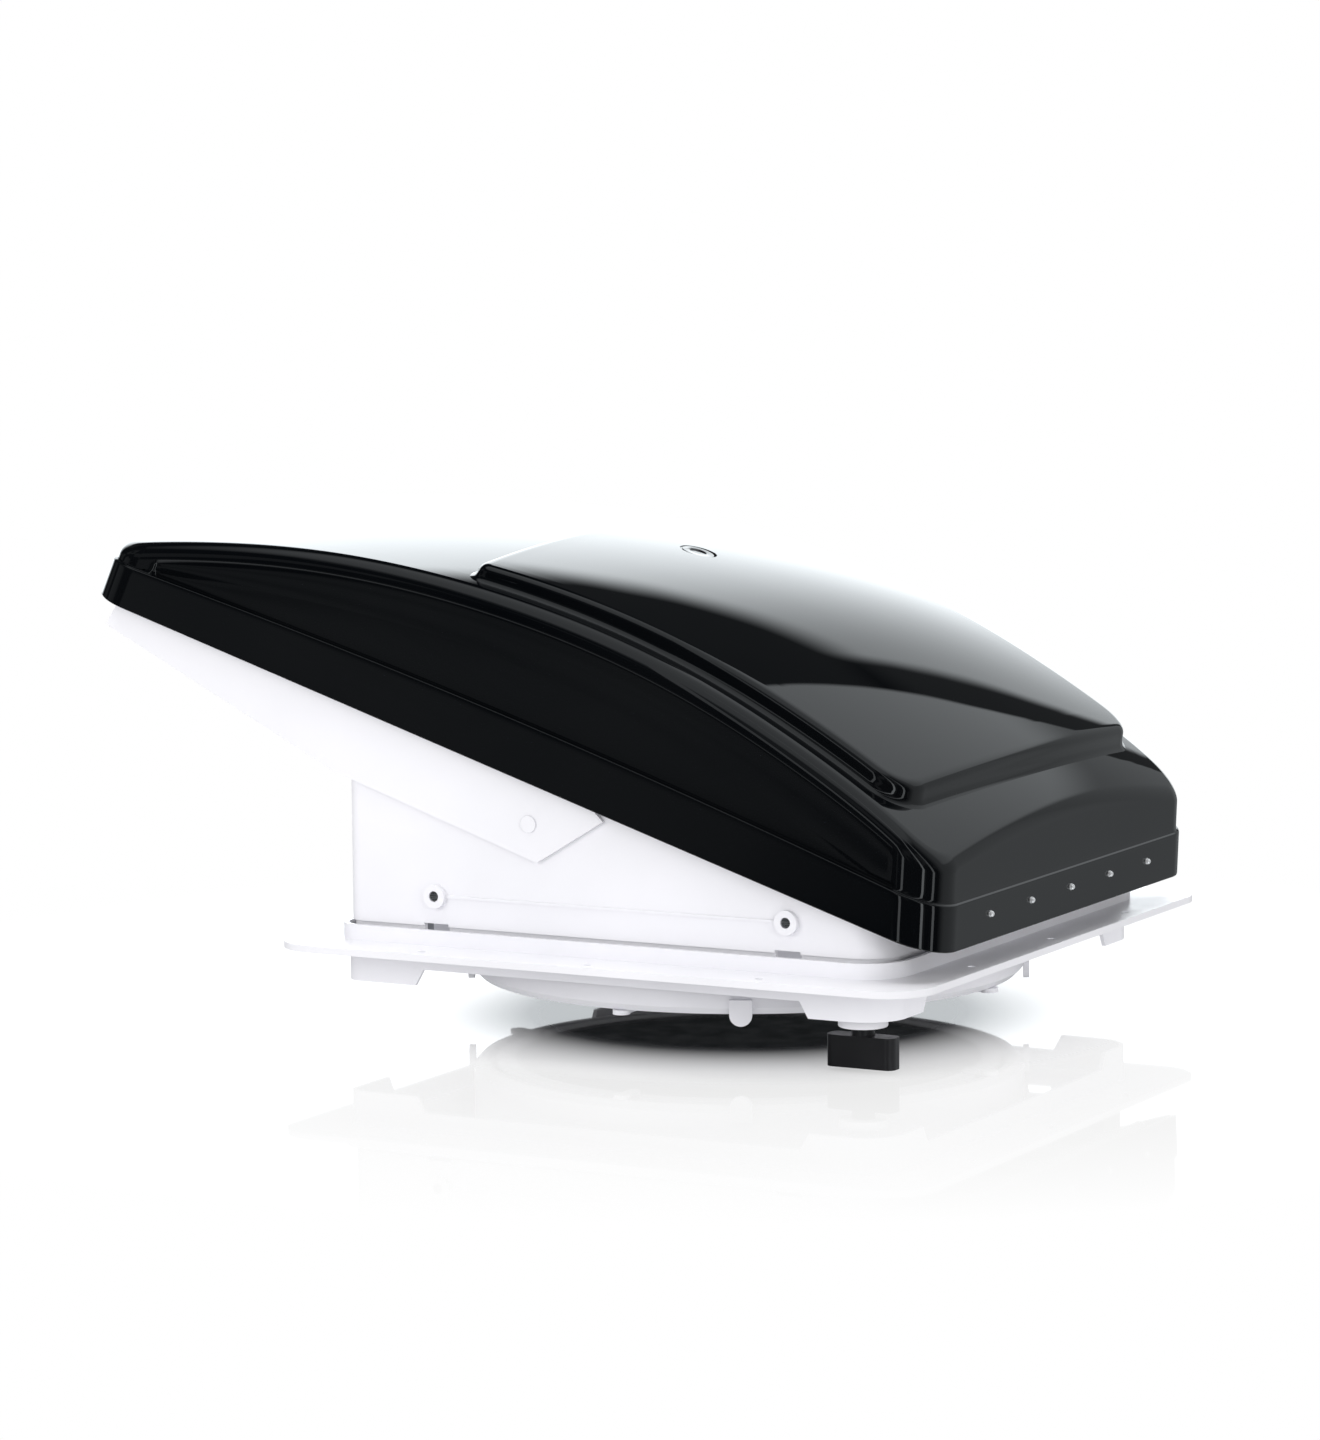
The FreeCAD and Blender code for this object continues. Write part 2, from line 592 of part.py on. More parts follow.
def build_base_leaf():
    pieces = [box("leaf_plate", 1.6, "dims.knuckle_pitch * %d - 0.3" % KNUCKLES, 28,
                  ("dims.housing_half_x", "-dims.knuckle_pitch * %d + 0.15" % (KNUCKLES // 2), 20.6))]
    length = "dims.knuckle_pitch - 0.3"
    for index in range(0, KNUCKLES, 2):
        start = knuckle_start(index)
        pieces.append(box("base_web_%d" % index, "dims.hinge_x - dims.housing_half_x", length, 3,
                          ("dims.housing_half_x", start, 20.6)))
        pieces.append(rod("base_knuckle_%d" % index, "dims.knuckle_dia / 2", length,
                          ("dims.hinge_x", start, "dims.hinge_z"), ALONG_Y))
    holes = [rod("base_pin_way", "dims.pin_dia / 2", 300, ("dims.hinge_x", -150, "dims.hinge_z"), ALONG_Y)]
    screws = []
    for y in (-100, -40, 40, 100):
        holes.append(rod("leaf_hole_%d" % y, 2.3, 10, ("dims.housing_half_x - 4", y, 40), (Y_AXIS, 90)))
        head = rod("leaf_head_%d" % y, 3.8, 2, ("dims.housing_half_x + 1.6", y, 40), (Y_AXIS, 90))
        shank = rod("leaf_shank_%d" % y, 2, 8, ("dims.housing_half_x - 5", y, 40), (Y_AXIS, 90))
        screws.append(joined("leaf_screw_%d" % y, [head, shank]))
    node(cut("base_leaf_node", joined("base_leaf_solid", pieces), holes), "hinge_base_leaf")
    node(grouped("leaf_screws", screws), "hinge_screws")
    node(rod("hinge_pin_rod", "dims.pin_dia / 2", "dims.knuckle_pitch * %d + 3" % KNUCKLES,
             ("dims.hinge_x", "-dims.knuckle_pitch * %d - 1.5" % (KNUCKLES // 2), "dims.hinge_z"), ALONG_Y),
         "hinge_pin")


LID_TURN = (Y_AXIS, "dims.open_angle")
LID_AT = ("dims.hinge_x", 0, "dims.hinge_z")


def build_lid_leaf():
    length = "dims.knuckle_pitch - 0.3"
    half = KNUCKLES // 2
    plate = box("lid_leaf_plate", 1.5, "dims.knuckle_pitch * %d - 0.3" % KNUCKLES, 20,
                ("dims.lid_front - dims.lid_wall - 1.5 * cos(dims.front_lean * 1 deg)"
                 " - (2.65 + 1.5 * sin(dims.front_lean * 1 deg)) * tan(dims.front_lean * 1 deg)",
                 "-dims.knuckle_pitch * %d + 0.15" % half, 2.6),
                (Y_AXIS, "-dims.front_lean"))
    pieces = [plate]
    for index in range(1, KNUCKLES, 2):
        start = knuckle_start(index)
        pieces.append(box("lid_web_%d" % index, 6.2, length, 3.4, (0, start, 1)))
        pieces.append(rod("lid_knuckle_%d" % index, "dims.knuckle_dia / 2", length, (0, start, 0), ALONG_Y))
    holes = [rod("lid_pin_way", "dims.pin_dia / 2 + 0.05", 300, (0, -150, 0), ALONG_Y)]
    for index in range(-2, 3):
        holes.append(rivet_hole("leaf_rivet_way_%d" % index, index))
    leaf = cut("lid_leaf_node", joined("lid_leaf_solid", pieces), holes)
    node(place(leaf, LID_AT, LID_TURN), "hinge_lid_leaf")


def rivet_hole(name, index):
    """A hole square to the leaning front band, at the height of the rivets."""
    reach = "dims.lid_front - dims.rivet_high * tan(dims.front_lean * 1 deg)"
    return rod(name, 2.0, 20, (reach + " - 10", "dims.rivet_pitch * %d" % index,
                               "dims.rivet_high - 10 * tan(dims.front_lean * 1 deg)"),
               (Y_AXIS, "90 - dims.front_lean"))


# ---------------------------------------------------------------- lid shell

# Side profile of the shoulder, from behind the rear edge to ahead of the front one:
# distance behind the hinge and height above the rim.
SHOULDER = [(600, 16), (553, 37), (500, 57), (440, 73), (370, 88), (300, 94.5),
            (230, 95), (160, 89.5), (100, 77), (50, 64.5), (13, 50), (-20, 27)]
CROWN_STATIONS = (-200, -140, -70, 0, 70, 140, 200)
SHOULDER_HALF = 168.0


def dome_block(raised):
    """Everything below the crowned top surface, raised by the given height."""
    crown = size("lid_crown")
    grid = [[Vector(-u, v, w + raised + crown * (1 - (v / SHOULDER_HALF) ** 2)) for v in CROWN_STATIONS]
            for u, w in SHOULDER]
    surface = Part.BSplineSurface()
    surface.interpolate(grid)
    return outward(surface.toShape().extrude(Vector(0, 0, -240)))


def outward(solid):
    """The same solid with its faces pointing out, whichever way its outline was drawn."""
    return solid if solid.Volume > 0 else solid.reversed()


def rounded_outline(front, rear, half, corner, w):
    """A rounded rectangle in plan, from -rear to front, at height w."""
    corners = [(front, -half), (front, half), (-rear, half), (-rear, -half)]
    centres = [(front - corner, -half + corner), (front - corner, half - corner),
               (-rear + corner, half - corner), (-rear + corner, -half + corner)]
    edges = []
    ends = []
    for index, (cx, cy) in enumerate(centres):
        middle = math.radians(-45 + 90 * index)
        points = [Vector(cx + corner * math.cos(a), cy + corner * math.sin(a), w)
                  for a in (middle - math.pi / 4, middle, middle + math.pi / 4)]
        ends.append((points[0], points[2]))
        edges.append(Part.Arc(*points).toShape())
    for index in range(len(corners)):
        edges.append(Part.makeLine(ends[index][1], ends[(index + 1) % 4][0]))
    return Part.Wire(Part.__sortEdges__(edges))


def lid_prism(inset, low):
    """The lid's plan outline drawn up with leaning front, rear and sides."""
    def outline(w):
        front = size("lid_front") - inset - w * math.tan(math.radians(size("front_lean")))
        rear = size("lid_rear") - inset - w * math.tan(math.radians(size("rear_lean")))
        half = size("lid_half") - inset - w * math.tan(math.radians(size("side_lean")))
        return rounded_outline(front, rear, half, size("lid_corner") - inset, w)
    return outward(Part.makeLoft([outline(low), outline(140.0)], True, True))


def step_block(lowered):
    """Everything below the step line, which rises a little towards the lid's middle."""
    front, middle, rear = Vector(20, -200, 24.5), Vector(-250, -200, 31.5), Vector(-590, -200, 22.5)
    drop = Vector(0, 0, -lowered)
    arc = Part.Arc(front + drop, middle + drop, rear + drop).toShape()
    low_rear = Vector(rear.x, rear.y, -30)
    low_front = Vector(front.x, front.y, -30)
    sides = [Part.makeLine(rear + drop, low_rear), Part.makeLine(low_rear, low_front),
             Part.makeLine(low_front, front + drop)]
    return outward(Part.Face(Part.Wire([arc] + sides)).extrude(Vector(0, 400, 0)))


def panel_block(inset):
    """The raised centre panel in plan: round front corners, square rear ones."""
    front = -size("panel_front") - inset
    rear = -size("panel_rear") + inset
    half = size("panel_half") - inset
    corner = 24.0 - inset
    slant = corner * (1 - math.sqrt(0.5))
    edges = [Part.makeLine(Vector(rear, -half, 40), Vector(front - corner, -half, 40)),
             Part.Arc(Vector(front - corner, -half, 40), Vector(front - slant, -half + slant, 40),
                      Vector(front, -half + corner, 40)).toShape(),
             Part.Arc(Vector(front, -half + corner, 40), Vector(front + 5, 0, 40),
                      Vector(front, half - corner, 40)).toShape(),
             Part.Arc(Vector(front, half - corner, 40), Vector(front - slant, half - slant, 40),
                      Vector(front - corner, half, 40)).toShape(),
             Part.makeLine(Vector(front - corner, half, 40), Vector(rear, half, 40)),
             Part.makeLine(Vector(rear, half, 40), Vector(rear, -half, 40))]
    return outward(Part.Face(Part.Wire(edges)).extrude(Vector(0, 0, 100)))


def lid_form(inset, low):
    """The lid's solid outside for no inset, or its room for an inset of the wall."""
    band = lid_prism(inset, low).common(step_block(inset))
    upper = lid_prism(inset + size("lid_step"), low).common(dome_block(-inset))
    panel = panel_block(inset).common(dome_block(size("panel_rise") - inset))
    return band.fuse([upper, panel])


def build_lid():
    wall = size("lid_wall")
    shell = lid_form(0.0, 0.0).cut(lid_form(wall, -10.0))
    shell = formed("lid_walls", shell)
    track_bosses = [rod("track_boss_%d" % i, 4, 18, (u, v, "dims.track_w + 18"))
                    for i, (u, v) in enumerate(track_screw_places())]
    holes = [rivet_hole("lid_rivet_way_%d" % index, index) for index in range(-2, 3)]
    holes += [rod("track_boss_bore_%d" % i, 1.5, 8, (u, v, "dims.track_w + 17"))
              for i, (u, v) in enumerate(track_screw_places())]
    holes.append(rod("gate_recess", "dims.gate_dia / 2", 20, ("-dims.gate_u", 0, "dims.gate_floor")))
    lid = cut("lid_node", joined("lid_solid", [shell] + track_bosses), holes)
    node(place(lid, LID_AT, LID_TURN), "lid_shell")


def dome_rivet(index):
    """One rivet: domed head outside, shank, and a flat set head inside, along the hole."""
    head, rise = "dims.rivet_dia / 2", "dims.rivet_rise"
    ball = "(%s ^ 2 + %s ^ 2) / (2 * %s)" % (head, rise, rise)
    dome = doc.addObject("Part::Sphere", "rivet_dome_%d" % index)
    bind(dome, Radius=ball, Angle1="asin((%s - %s) / (%s))" % (ball, rise, ball), Angle2=90)
    place(dome, (0, 0, "%s - %s" % (rise, ball)))
    grip = "dims.lid_wall + 1.6"
    shank = rod("rivet_shank_%d" % index, 1.95, grip + " + 0.6", (0, 0, "-(%s)" % grip))
    foot = rod("rivet_foot_%d" % index, 3, 1, (0, 0, "-(%s) - 1" % grip))
    reach = "dims.lid_front - dims.rivet_high * tan(dims.front_lean * 1 deg)"
    return place(joined("rivet_%d" % index, [dome, shank, foot]),
                 (reach, "dims.rivet_pitch * %d" % index, "dims.rivet_high"),
                 (Y_AXIS, "90 - dims.front_lean"))


def build_rivets():
    rivets = [dome_rivet(index) for index in range(-2, 3)]
    node(place(grouped("rivet_set", rivets), LID_AT, LID_TURN), "lid_rivets")


# ---------------------------------------------------------------- lid lift

def track_screw_places():
    return [("-dims.track_u - %d" % du, dv) for du in (-18, 18) for dv in (-15, 15)]


def build_track():
    top = box("track_top", 56, 42, 2, ("-dims.track_u - 28", -21, "dims.track_w + 16"))
    sides = [box("track_side_%d" % y, 56, 2, 26, ("-dims.track_u - 28", y, "dims.track_w - 9"))
             for y in (-9, 7)]
    slot = box("track_slot", 20, 60, 7, ("-dims.track_u - 10", -30, "dims.track_w - 3.5"))
    slot_ends = [rod("slot_end_%d" % u, 3.5, 60, ("-dims.track_u + %d" % u, -30, "dims.track_w"), ALONG_Y)
                 for u in (-10, 10)]
    holes = [rod("track_hole_%d" % i, 1.8, 8, (u, v, "dims.track_w + 13"))
             for i, (u, v) in enumerate(track_screw_places())]
    track = cut("track_node", joined("track_solid", [top] + sides), [slot] + slot_ends + holes)
    node(place(track, LID_AT, LID_TURN), "lift_track")

    screws = []
    for i, (u, v) in enumerate(track_screw_places()):
        head = rod("track_head_%d" % i, 3, 1.8, (u, v, "dims.track_w + 14.2"))
        shank = rod("track_shank_%d" % i, 1.5, 8, (u, v, "dims.track_w + 16"))
        screws.append(joined("track_screw_%d" % i, [head, shank]))
    node(place(grouped("track_screw_set", screws), LID_AT, LID_TURN), "track_screws")


def build_arm():
    at = ("dims.lift_x", 0, "dims.lift_z")
    turn = (Y_AXIS, "dims.arm_angle")
    bar = box("arm_plate", "dims.arm_length", 8, 12, ("-dims.arm_length", -4, -6))
    eye = rod("arm_eye", 9, 20, (0, -10, 0), ALONG_Y)
    tip = rod("arm_tip", 6, 8, ("-dims.arm_length", -4, 0), ALONG_Y)
    bore = rod("arm_bore", "dims.lift_shaft_dia / 2", 40, (0, -20, 0), ALONG_Y)
    pin_bore = rod("arm_pin_bore", 3, 40, ("-dims.arm_length", -20, 0), ALONG_Y)
    arm = cut("arm_node", joined("arm_solid", [bar, eye, tip]), [bore, pin_bore])
    node(place(arm, at, turn), "lift_arm")
    pin = rod("arm_pin", 3, 26, ("-dims.arm_length * cos(dims.arm_angle * 1 deg) + dims.lift_x", -13,
                                 "dims.arm_length * sin(dims.arm_angle * 1 deg) + dims.lift_z"), ALONG_Y)
    node(pin, "lift_pin")
    node(rod("lift_shaft_rod", "dims.lift_shaft_dia / 2", 182, ("dims.lift_x", -157, "dims.lift_z"), ALONG_Y),
         "lift_shaft")
    hangers = []
    for y in (-24, 14):
        block = box("hanger_block_%d" % y, "dims.housing_half_x - dims.wall - dims.lift_x + 9", 10, 16,
                    ("dims.lift_x - 9", y, "dims.lift_z - 8"))
        bore = rod("hanger_bore_%d" % y, "dims.lift_shaft_dia / 2 + 0.05", 20,
                   ("dims.lift_x", y - 5, "dims.lift_z"), ALONG_Y)
        hangers.append(cut("hanger_%d" % y, block, [bore]))
    node(grouped("hanger_pair", hangers), "shaft_hangers")


def wheel_outline(pitch_radius, teeth, depth):
    """A plain worm wheel: flat-topped teeth narrower than their gaps, a gap facing +X."""
    points = []
    root, tip = pitch_radius - depth - 0.6, pitch_radius + depth - 0.6
    step = 2 * math.pi / teeth
    for index in range(teeth):
        middle = step * (index + 0.5)
        for radius, share in ((root, -0.24), (tip, -0.12), (tip, 0.12), (root, 0.24)):
            angle = middle + share * step
            points.append(Vector(radius * math.cos(angle), 0, radius * math.sin(angle)))
    return Part.Face(Part.makePolygon(points + points[:1]))


def build_gears():
    pitch_radius = size("worm_x") - size("lift_x") - size("worm_pitch_radius")
    teeth, depth = int(size("wheel_teeth")), size("tooth_depth")
    at = (size("lift_x"), size("worm_y"), size("lift_z"))
    wheel = wheel_outline(pitch_radius, teeth, depth).extrude(Vector(0, 5, 0))
    wheel.translate(Vector(0, -2.5, 0))
    wheel = wheel.cut(Part.makeCylinder(size("lift_shaft_dia") / 2, 40, Vector(0, -20, 0), Y_AXIS))
    node(formed("wheel_node", wheel, ("dims.lift_x", "dims.worm_y", "dims.lift_z")), "worm_wheel")

    lead = 2 * math.pi * pitch_radius / teeth
    turns = 4
    core = size("worm_pitch_radius") - depth + 0.4
    outside = size("worm_pitch_radius") + depth - 0.6
    low = size("lift_z") - lead * (turns / 2 + 0.5)
    helix = Part.makeHelix(lead, lead * turns, core)
    half_root, half_tip = 1.15, 0.65
    profile = Part.makePolygon([Vector(core - 0.5, 0, -half_root), Vector(outside, 0, -half_tip),
                                Vector(outside, 0, half_tip), Vector(core - 0.5, 0, half_root),
                                Vector(core - 0.5, 0, -half_root)])
    thread = Part.Wire(helix).makePipeShell([profile], True, True)
    thread.translate(Vector(at[0] + pitch_radius + size("worm_pitch_radius"), at[1], low))
    shaft_low, shaft_high = size("knob_low") + 4, size("lift_z") + 25
    centre = Vector(size("worm_x"), size("worm_y"), shaft_low)
    shaft = Part.makeCylinder(size("lift_shaft_dia") / 2, shaft_high - shaft_low, centre)
    swell = Part.makeCylinder(core, lead * (turns + 1.2), Vector(centre.x, centre.y, low - 0.6 * lead))
    node(formed("worm_node", shaft.fuse([swell, thread])), "worm_shaft")


def build_gear_case():
    outer = box("case_outer", 67, 29, 54, (95, -162, 22))
    room = box("case_room", 62, 24, 48.5, (97.5, -159.5, 24.5))
    way = "dims.lift_shaft_dia / 2 + 0.05"
    holes = [rod("case_shaft_way", way, 20, ("dims.lift_x", -145, "dims.lift_z"), ALONG_Y),
             rod("case_worm_way", way, 10, ("dims.worm_x", "dims.worm_y", 18))]
    node(cut("case_node", outer, [room] + holes), "gearbox_case")


def build_knob():
    at = ("dims.worm_x", "dims.worm_y", 0)
    shaft_radius = "dims.lift_shaft_dia / 2"
    disc = rod("bushing_disc", 14, 5, ("dims.worm_x", "dims.worm_y", -27))
    tube = rod("bushing_tube", 8, "dims.deck_low + 23", ("dims.worm_x", "dims.worm_y", -23))
    way = rod("bushing_way", shaft_radius + " + 0.05", 70, ("dims.worm_x", "dims.worm_y", -40))
    node(cut("bushing_node", joined("bushing_solid", [disc, tube]), [way]), "knob_bushing")
    neck = rod("knob_neck", 6.5, 6, (0, 0, -33.3))
    bar = box("knob_bar", "dims.knob_length", "dims.knob_width", 18,
              ("-dims.knob_length / 2", "-dims.knob_width / 2", "dims.knob_low"))
    rounded = doc.addObject("Part::Fillet", "knob_rounded")
    rounded.Base = bar
    rounded.Edges = [(index, 5.0, 5.0) for index in (1, 3, 5, 7)]
    bore = rod("knob_bore", shaft_radius, 30, (0, 0, "dims.knob_low + 4"))
    node(place(cut("knob_node", joined("knob_solid", [rounded, neck]), [bore]), at), "lift_knob")


# ---------------------------------------------------------------- rain shield

# Side outline of a cheek, (x, z): front tip, lower front corner, the corner where the
# air grille begins, rear tip, and the upper edge that stays inside the lid.
CHEEK = [(-2, 82), (-45, 56), (-180, 101.5), (-335, 180), (-320, 203), (-150, 146), (-14, 94)]
GRILLE_START = (-187, 105)
GRILLE_END = (-335, 180)
SLOT_COUNT = 11
SLOT_WIDTH = 24
SLOT_PITCH = 30.6
SLOT_MARGIN = 15


def build_shield():
    near = plate_body("cheek_near", CHEEK, "dims.cheek_thick", "-dims.cheek_inner - dims.cheek_thick")
    far = plate_body("cheek_far", CHEEK, "dims.cheek_thick", "dims.cheek_inner")
    (x0, z0), (x1, z1) = GRILLE_START, GRILLE_END
    slope = math.atan2(z1 - z0, x0 - x1)
    run = math.hypot(x1 - x0, z1 - z0)
    turn = (Y_AXIS, math.degrees(slope) + 180)
    width = "2 * dims.cheek_inner + 1"
    plate = box("grille_plate", run, width, 2, (0, "-dims.cheek_inner - 0.5", -2))
    first_slot = -(SLOT_COUNT - 1) / 2 * SLOT_PITCH - SLOT_WIDTH / 2
    slots = [box("grille_slot_%d" % i, run - 2 * SLOT_MARGIN, SLOT_WIDTH, 10,
                 (SLOT_MARGIN, first_slot + SLOT_PITCH * i, -6)) for i in range(SLOT_COUNT)]
    grille = cut("grille_flat", plate, slots)
    place(grille, (x0, 0, z0), turn)
    rear = box("shield_rear", 2, width, 20, (x1, "-dims.cheek_inner - 0.5", z1), (Y_AXIS, 30))
    bores = [rod("cheek_bore_%d" % sign, 2.56, 12,
                 ("dims.pivot_x", "%d * dims.cheek_inner - 6" % sign, "dims.pivot_z"), ALONG_Y)
             for sign in (-1, 1)]
    node(cut("shield_node", joined("shield_solid", [near, far, grille, rear]), bores), "rain_shield")

    pins = []
    for sign in (-1, 1):
        outer = "dims.cheek_inner + dims.cheek_thick + 0.15"
        start = "-(%s)" % outer if sign < 0 else "dims.housing_half_y - 5"
        shank = rod("pivot_shank_%d" % sign, 2.5, "%s - dims.housing_half_y + 5" % outer,
                    ("dims.pivot_x", start, "dims.pivot_z"), ALONG_Y)
        cap_start = "-(%s) - 0.9" % outer if sign < 0 else outer
        cap = rod("pivot_cap_%d" % sign, 5, 0.9, ("dims.pivot_x", cap_start, "dims.pivot_z"), ALONG_Y)
        pins.append(joined("pivot_pin_%d" % sign, [shank, cap]))
    node(grouped("pivot_pins", pins), "shield_pivot_pins")


# ---------------------------------------------------------------- build and write

def build_all():
    build_flange()
    build_housing()
    build_deck()
    build_ring()
    build_motor()
    build_fan()
    build_screen()
    build_controls()
    build_base_leaf()
    build_lid_leaf()
    build_lid()
    build_rivets()
    build_track()
    build_arm()
    build_gears()
    build_gear_case()
    build_knob()
    build_shield()
    doc.recompute()


def faults():
    found = []
    for item in doc.Objects:
        if "Invalid" in item.State or "Error" in item.State:
            found.append("%s %s" % (item.Name, item.State))
    for item in NODES:
        shape = item.Shape
        if shape.isNull() or not shape.isValid() or not shape.Solids:
            found.append("%s has no sound solid" % item.Label)
    return found


def write_parts():
    os.makedirs("parts", exist_ok=True)
    for item in NODES:
        item.Shape.exportStep("parts/%s.step" % item.Label)
        extent = item.Shape.BoundBox
        print("%-20s solids %d  volume %9.0f  x %.1f..%.1f y %.1f..%.1f z %.1f..%.1f" % (
            item.Label, len(item.Shape.Solids), item.Shape.Volume, extent.XMin, extent.XMax,
            extent.YMin, extent.YMax, extent.ZMin, extent.ZMax))


build_all()
problems = faults()
if problems:
    raise SystemExit("\n".join(problems))
write_parts()
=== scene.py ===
import json
import math

import bmesh
import bpy
import numpy as np
from mathutils import Matrix, Vector


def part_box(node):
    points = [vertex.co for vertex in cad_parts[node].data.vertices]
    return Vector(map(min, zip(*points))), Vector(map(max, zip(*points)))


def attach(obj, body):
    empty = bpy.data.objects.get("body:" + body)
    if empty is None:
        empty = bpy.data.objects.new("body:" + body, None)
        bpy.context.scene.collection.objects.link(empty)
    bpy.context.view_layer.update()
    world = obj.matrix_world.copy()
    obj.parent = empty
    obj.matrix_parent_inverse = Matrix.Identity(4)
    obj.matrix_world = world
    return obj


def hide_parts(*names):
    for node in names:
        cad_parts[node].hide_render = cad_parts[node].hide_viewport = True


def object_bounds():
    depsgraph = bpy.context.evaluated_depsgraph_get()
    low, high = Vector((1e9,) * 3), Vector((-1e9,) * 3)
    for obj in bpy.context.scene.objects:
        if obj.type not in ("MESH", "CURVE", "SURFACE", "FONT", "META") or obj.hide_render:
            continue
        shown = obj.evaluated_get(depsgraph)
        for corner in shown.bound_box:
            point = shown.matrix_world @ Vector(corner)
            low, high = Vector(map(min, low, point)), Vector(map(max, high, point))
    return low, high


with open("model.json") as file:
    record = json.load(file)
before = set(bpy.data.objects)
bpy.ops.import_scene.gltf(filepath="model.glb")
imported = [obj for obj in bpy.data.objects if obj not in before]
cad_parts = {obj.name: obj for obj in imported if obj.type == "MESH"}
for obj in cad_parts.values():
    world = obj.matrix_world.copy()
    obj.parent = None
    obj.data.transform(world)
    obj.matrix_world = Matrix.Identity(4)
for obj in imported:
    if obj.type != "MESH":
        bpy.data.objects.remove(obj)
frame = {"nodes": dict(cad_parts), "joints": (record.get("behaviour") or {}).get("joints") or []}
CAD_LOW, CAD_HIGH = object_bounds()
MM = 0.001
JOINTS = {joint["name"]: joint for joint in frame["joints"]}


# ---------------------------------------------------------------- materials

class Surface:
    """A Principled material whose colour, roughness and bump come from nodes."""

    def __init__(self, name, roughness, specular=0.5, metallic=0.0, ior=1.46):
        self.material = bpy.data.materials.new(name)
        self.material.use_nodes = True
        self.tree = self.material.node_tree
        self.shader = self.tree.nodes["Principled BSDF"]
        self.shader.inputs["Roughness"].default_value = roughness
        self.shader.inputs["Specular IOR Level"].default_value = specular
        self.shader.inputs["Metallic"].default_value = metallic
        self.shader.inputs["IOR"].default_value = ior
        self.place = self.tree.nodes.new("ShaderNodeTexCoord").outputs["Object"]
        self.height = None

    def add(self, kind, **settings):
        made = self.tree.nodes.new("ShaderNode" + kind)
        for key, value in settings.items():
            if key in made.inputs:
                made.inputs[key].default_value = value
            else:
                setattr(made, key, value)
        return made

    def link(self, source, target):
        self.tree.links.new(source, target)

    def stretched(self, scale):
        mapping = self.add("Mapping")
        mapping.inputs["Scale"].default_value = scale
        self.link(self.place, mapping.inputs["Vector"])
        return mapping.outputs["Vector"]

    def noise(self, scale, detail=2.0, stretch=None):
        made = self.add("TexNoise", Scale=scale, Detail=detail)
        self.link(self.stretched(stretch) if stretch else self.place, made.inputs["Vector"])
        return made.outputs["Fac"]

    def ramp(self, source, low, high, start=0.3, end=0.7):
        made = self.add("MapRange")
        made.inputs["From Min"].default_value = start
        made.inputs["From Max"].default_value = end
        made.inputs["To Min"].default_value = low
        made.inputs["To Max"].default_value = high
        self.link(source, made.inputs["Value"])
        return made.outputs["Result"]

    def colour(self, source, dark, light, start=0.35, end=0.65):
        made = self.add("ValToRGB")
        made.color_ramp.elements[0].position = start
        made.color_ramp.elements[0].color = (*dark, 1)
        made.color_ramp.elements[1].position = end
        made.color_ramp.elements[1].color = (*light, 1)
        self.link(source, made.inputs["Fac"])
        self.link(made.outputs["Color"], self.shader.inputs["Base Color"])
        return self

    def rough(self, source, low, high, start=0.3, end=0.7):
        self.link(self.ramp(source, low, high, start, end), self.shader.inputs["Roughness"])
        return self

    def bump(self, source, distance, strength=1.0):
        made = self.add("Bump", Strength=strength, Distance=distance)
        self.link(source, made.inputs["Height"])
        if self.height is not None:
            self.link(self.height, made.inputs["Normal"])
        self.height = made.outputs["Normal"]
        self.link(self.height, self.shader.inputs["Normal"])
        return self


def moulded(name, dark, light, roughness, grain=0.00002, ior=1.49):
    """Moulded plastic: faint flow marks in the colour and a fine even grain."""
    made = Surface(name, roughness, ior=ior)
    made.colour(made.noise(9.0, 3.0), dark, light)
    made.rough(made.noise(60.0, 4.0), roughness * 0.86, roughness * 1.16)
    made.bump(made.noise(1400.0, 2.0), grain)
    return made.bump(made.noise(7.0, 1.0), 0.00035, 0.35)


def brushed(name, dark, light, roughness, along=(1.0, 40.0, 40.0), metallic=1.0):
    """Plated or rolled metal with fine lines one way and a mottled tone."""
    made = Surface(name, roughness, metallic=metallic)
    made.colour(made.noise(70.0, 4.0), dark, light)
    lines = made.noise(90.0, 3.0, along)
    made.rough(lines, roughness * 0.75, roughness * 1.3)
    return made.bump(lines, 0.00001)


def spangled(name, dark, light, roughness):
    """Zinc plate: crystal cells a few millimetres across, each with its own shade and gloss."""
    made = Surface(name, roughness, metallic=1.0)
    cells = made.add("TexVoronoi", Scale=260.0)
    made.link(made.place, cells.inputs["Vector"])
    made.colour(cells.outputs["Color"], dark, light, 0.2, 0.8)
    made.rough(cells.outputs["Color"], roughness * 0.7, roughness * 1.3, 0.2, 0.8)
    return made.bump(made.noise(900.0, 3.0), 0.00001)


def smoked_plastic():
    """The lid's smoke tinted acrylic: nearly black, mirror glossy, letting a little light through."""
    made = Surface("smoke_lid_finish", 0.012, ior=1.5)
    made.colour(made.noise(5.0, 3.0), (0.0010, 0.0014, 0.0020), (0.0022, 0.0026, 0.0032))
    made.rough(made.noise(38.0, 6.0), 0.006, 0.022, 0.35, 0.75)
    made.shader.inputs["Alpha"].default_value = 0.988
    return made.bump(made.noise(14.0, 1.0), 0.00022, 0.4)


def woven_screen():
    """Dull aluminium wire."""
    made = brushed("screen_mesh_finish", (0.13, 0.135, 0.14), (0.25, 0.255, 0.26), 0.42)
    made.shader.inputs["Metallic"].default_value = 0.8
    return made


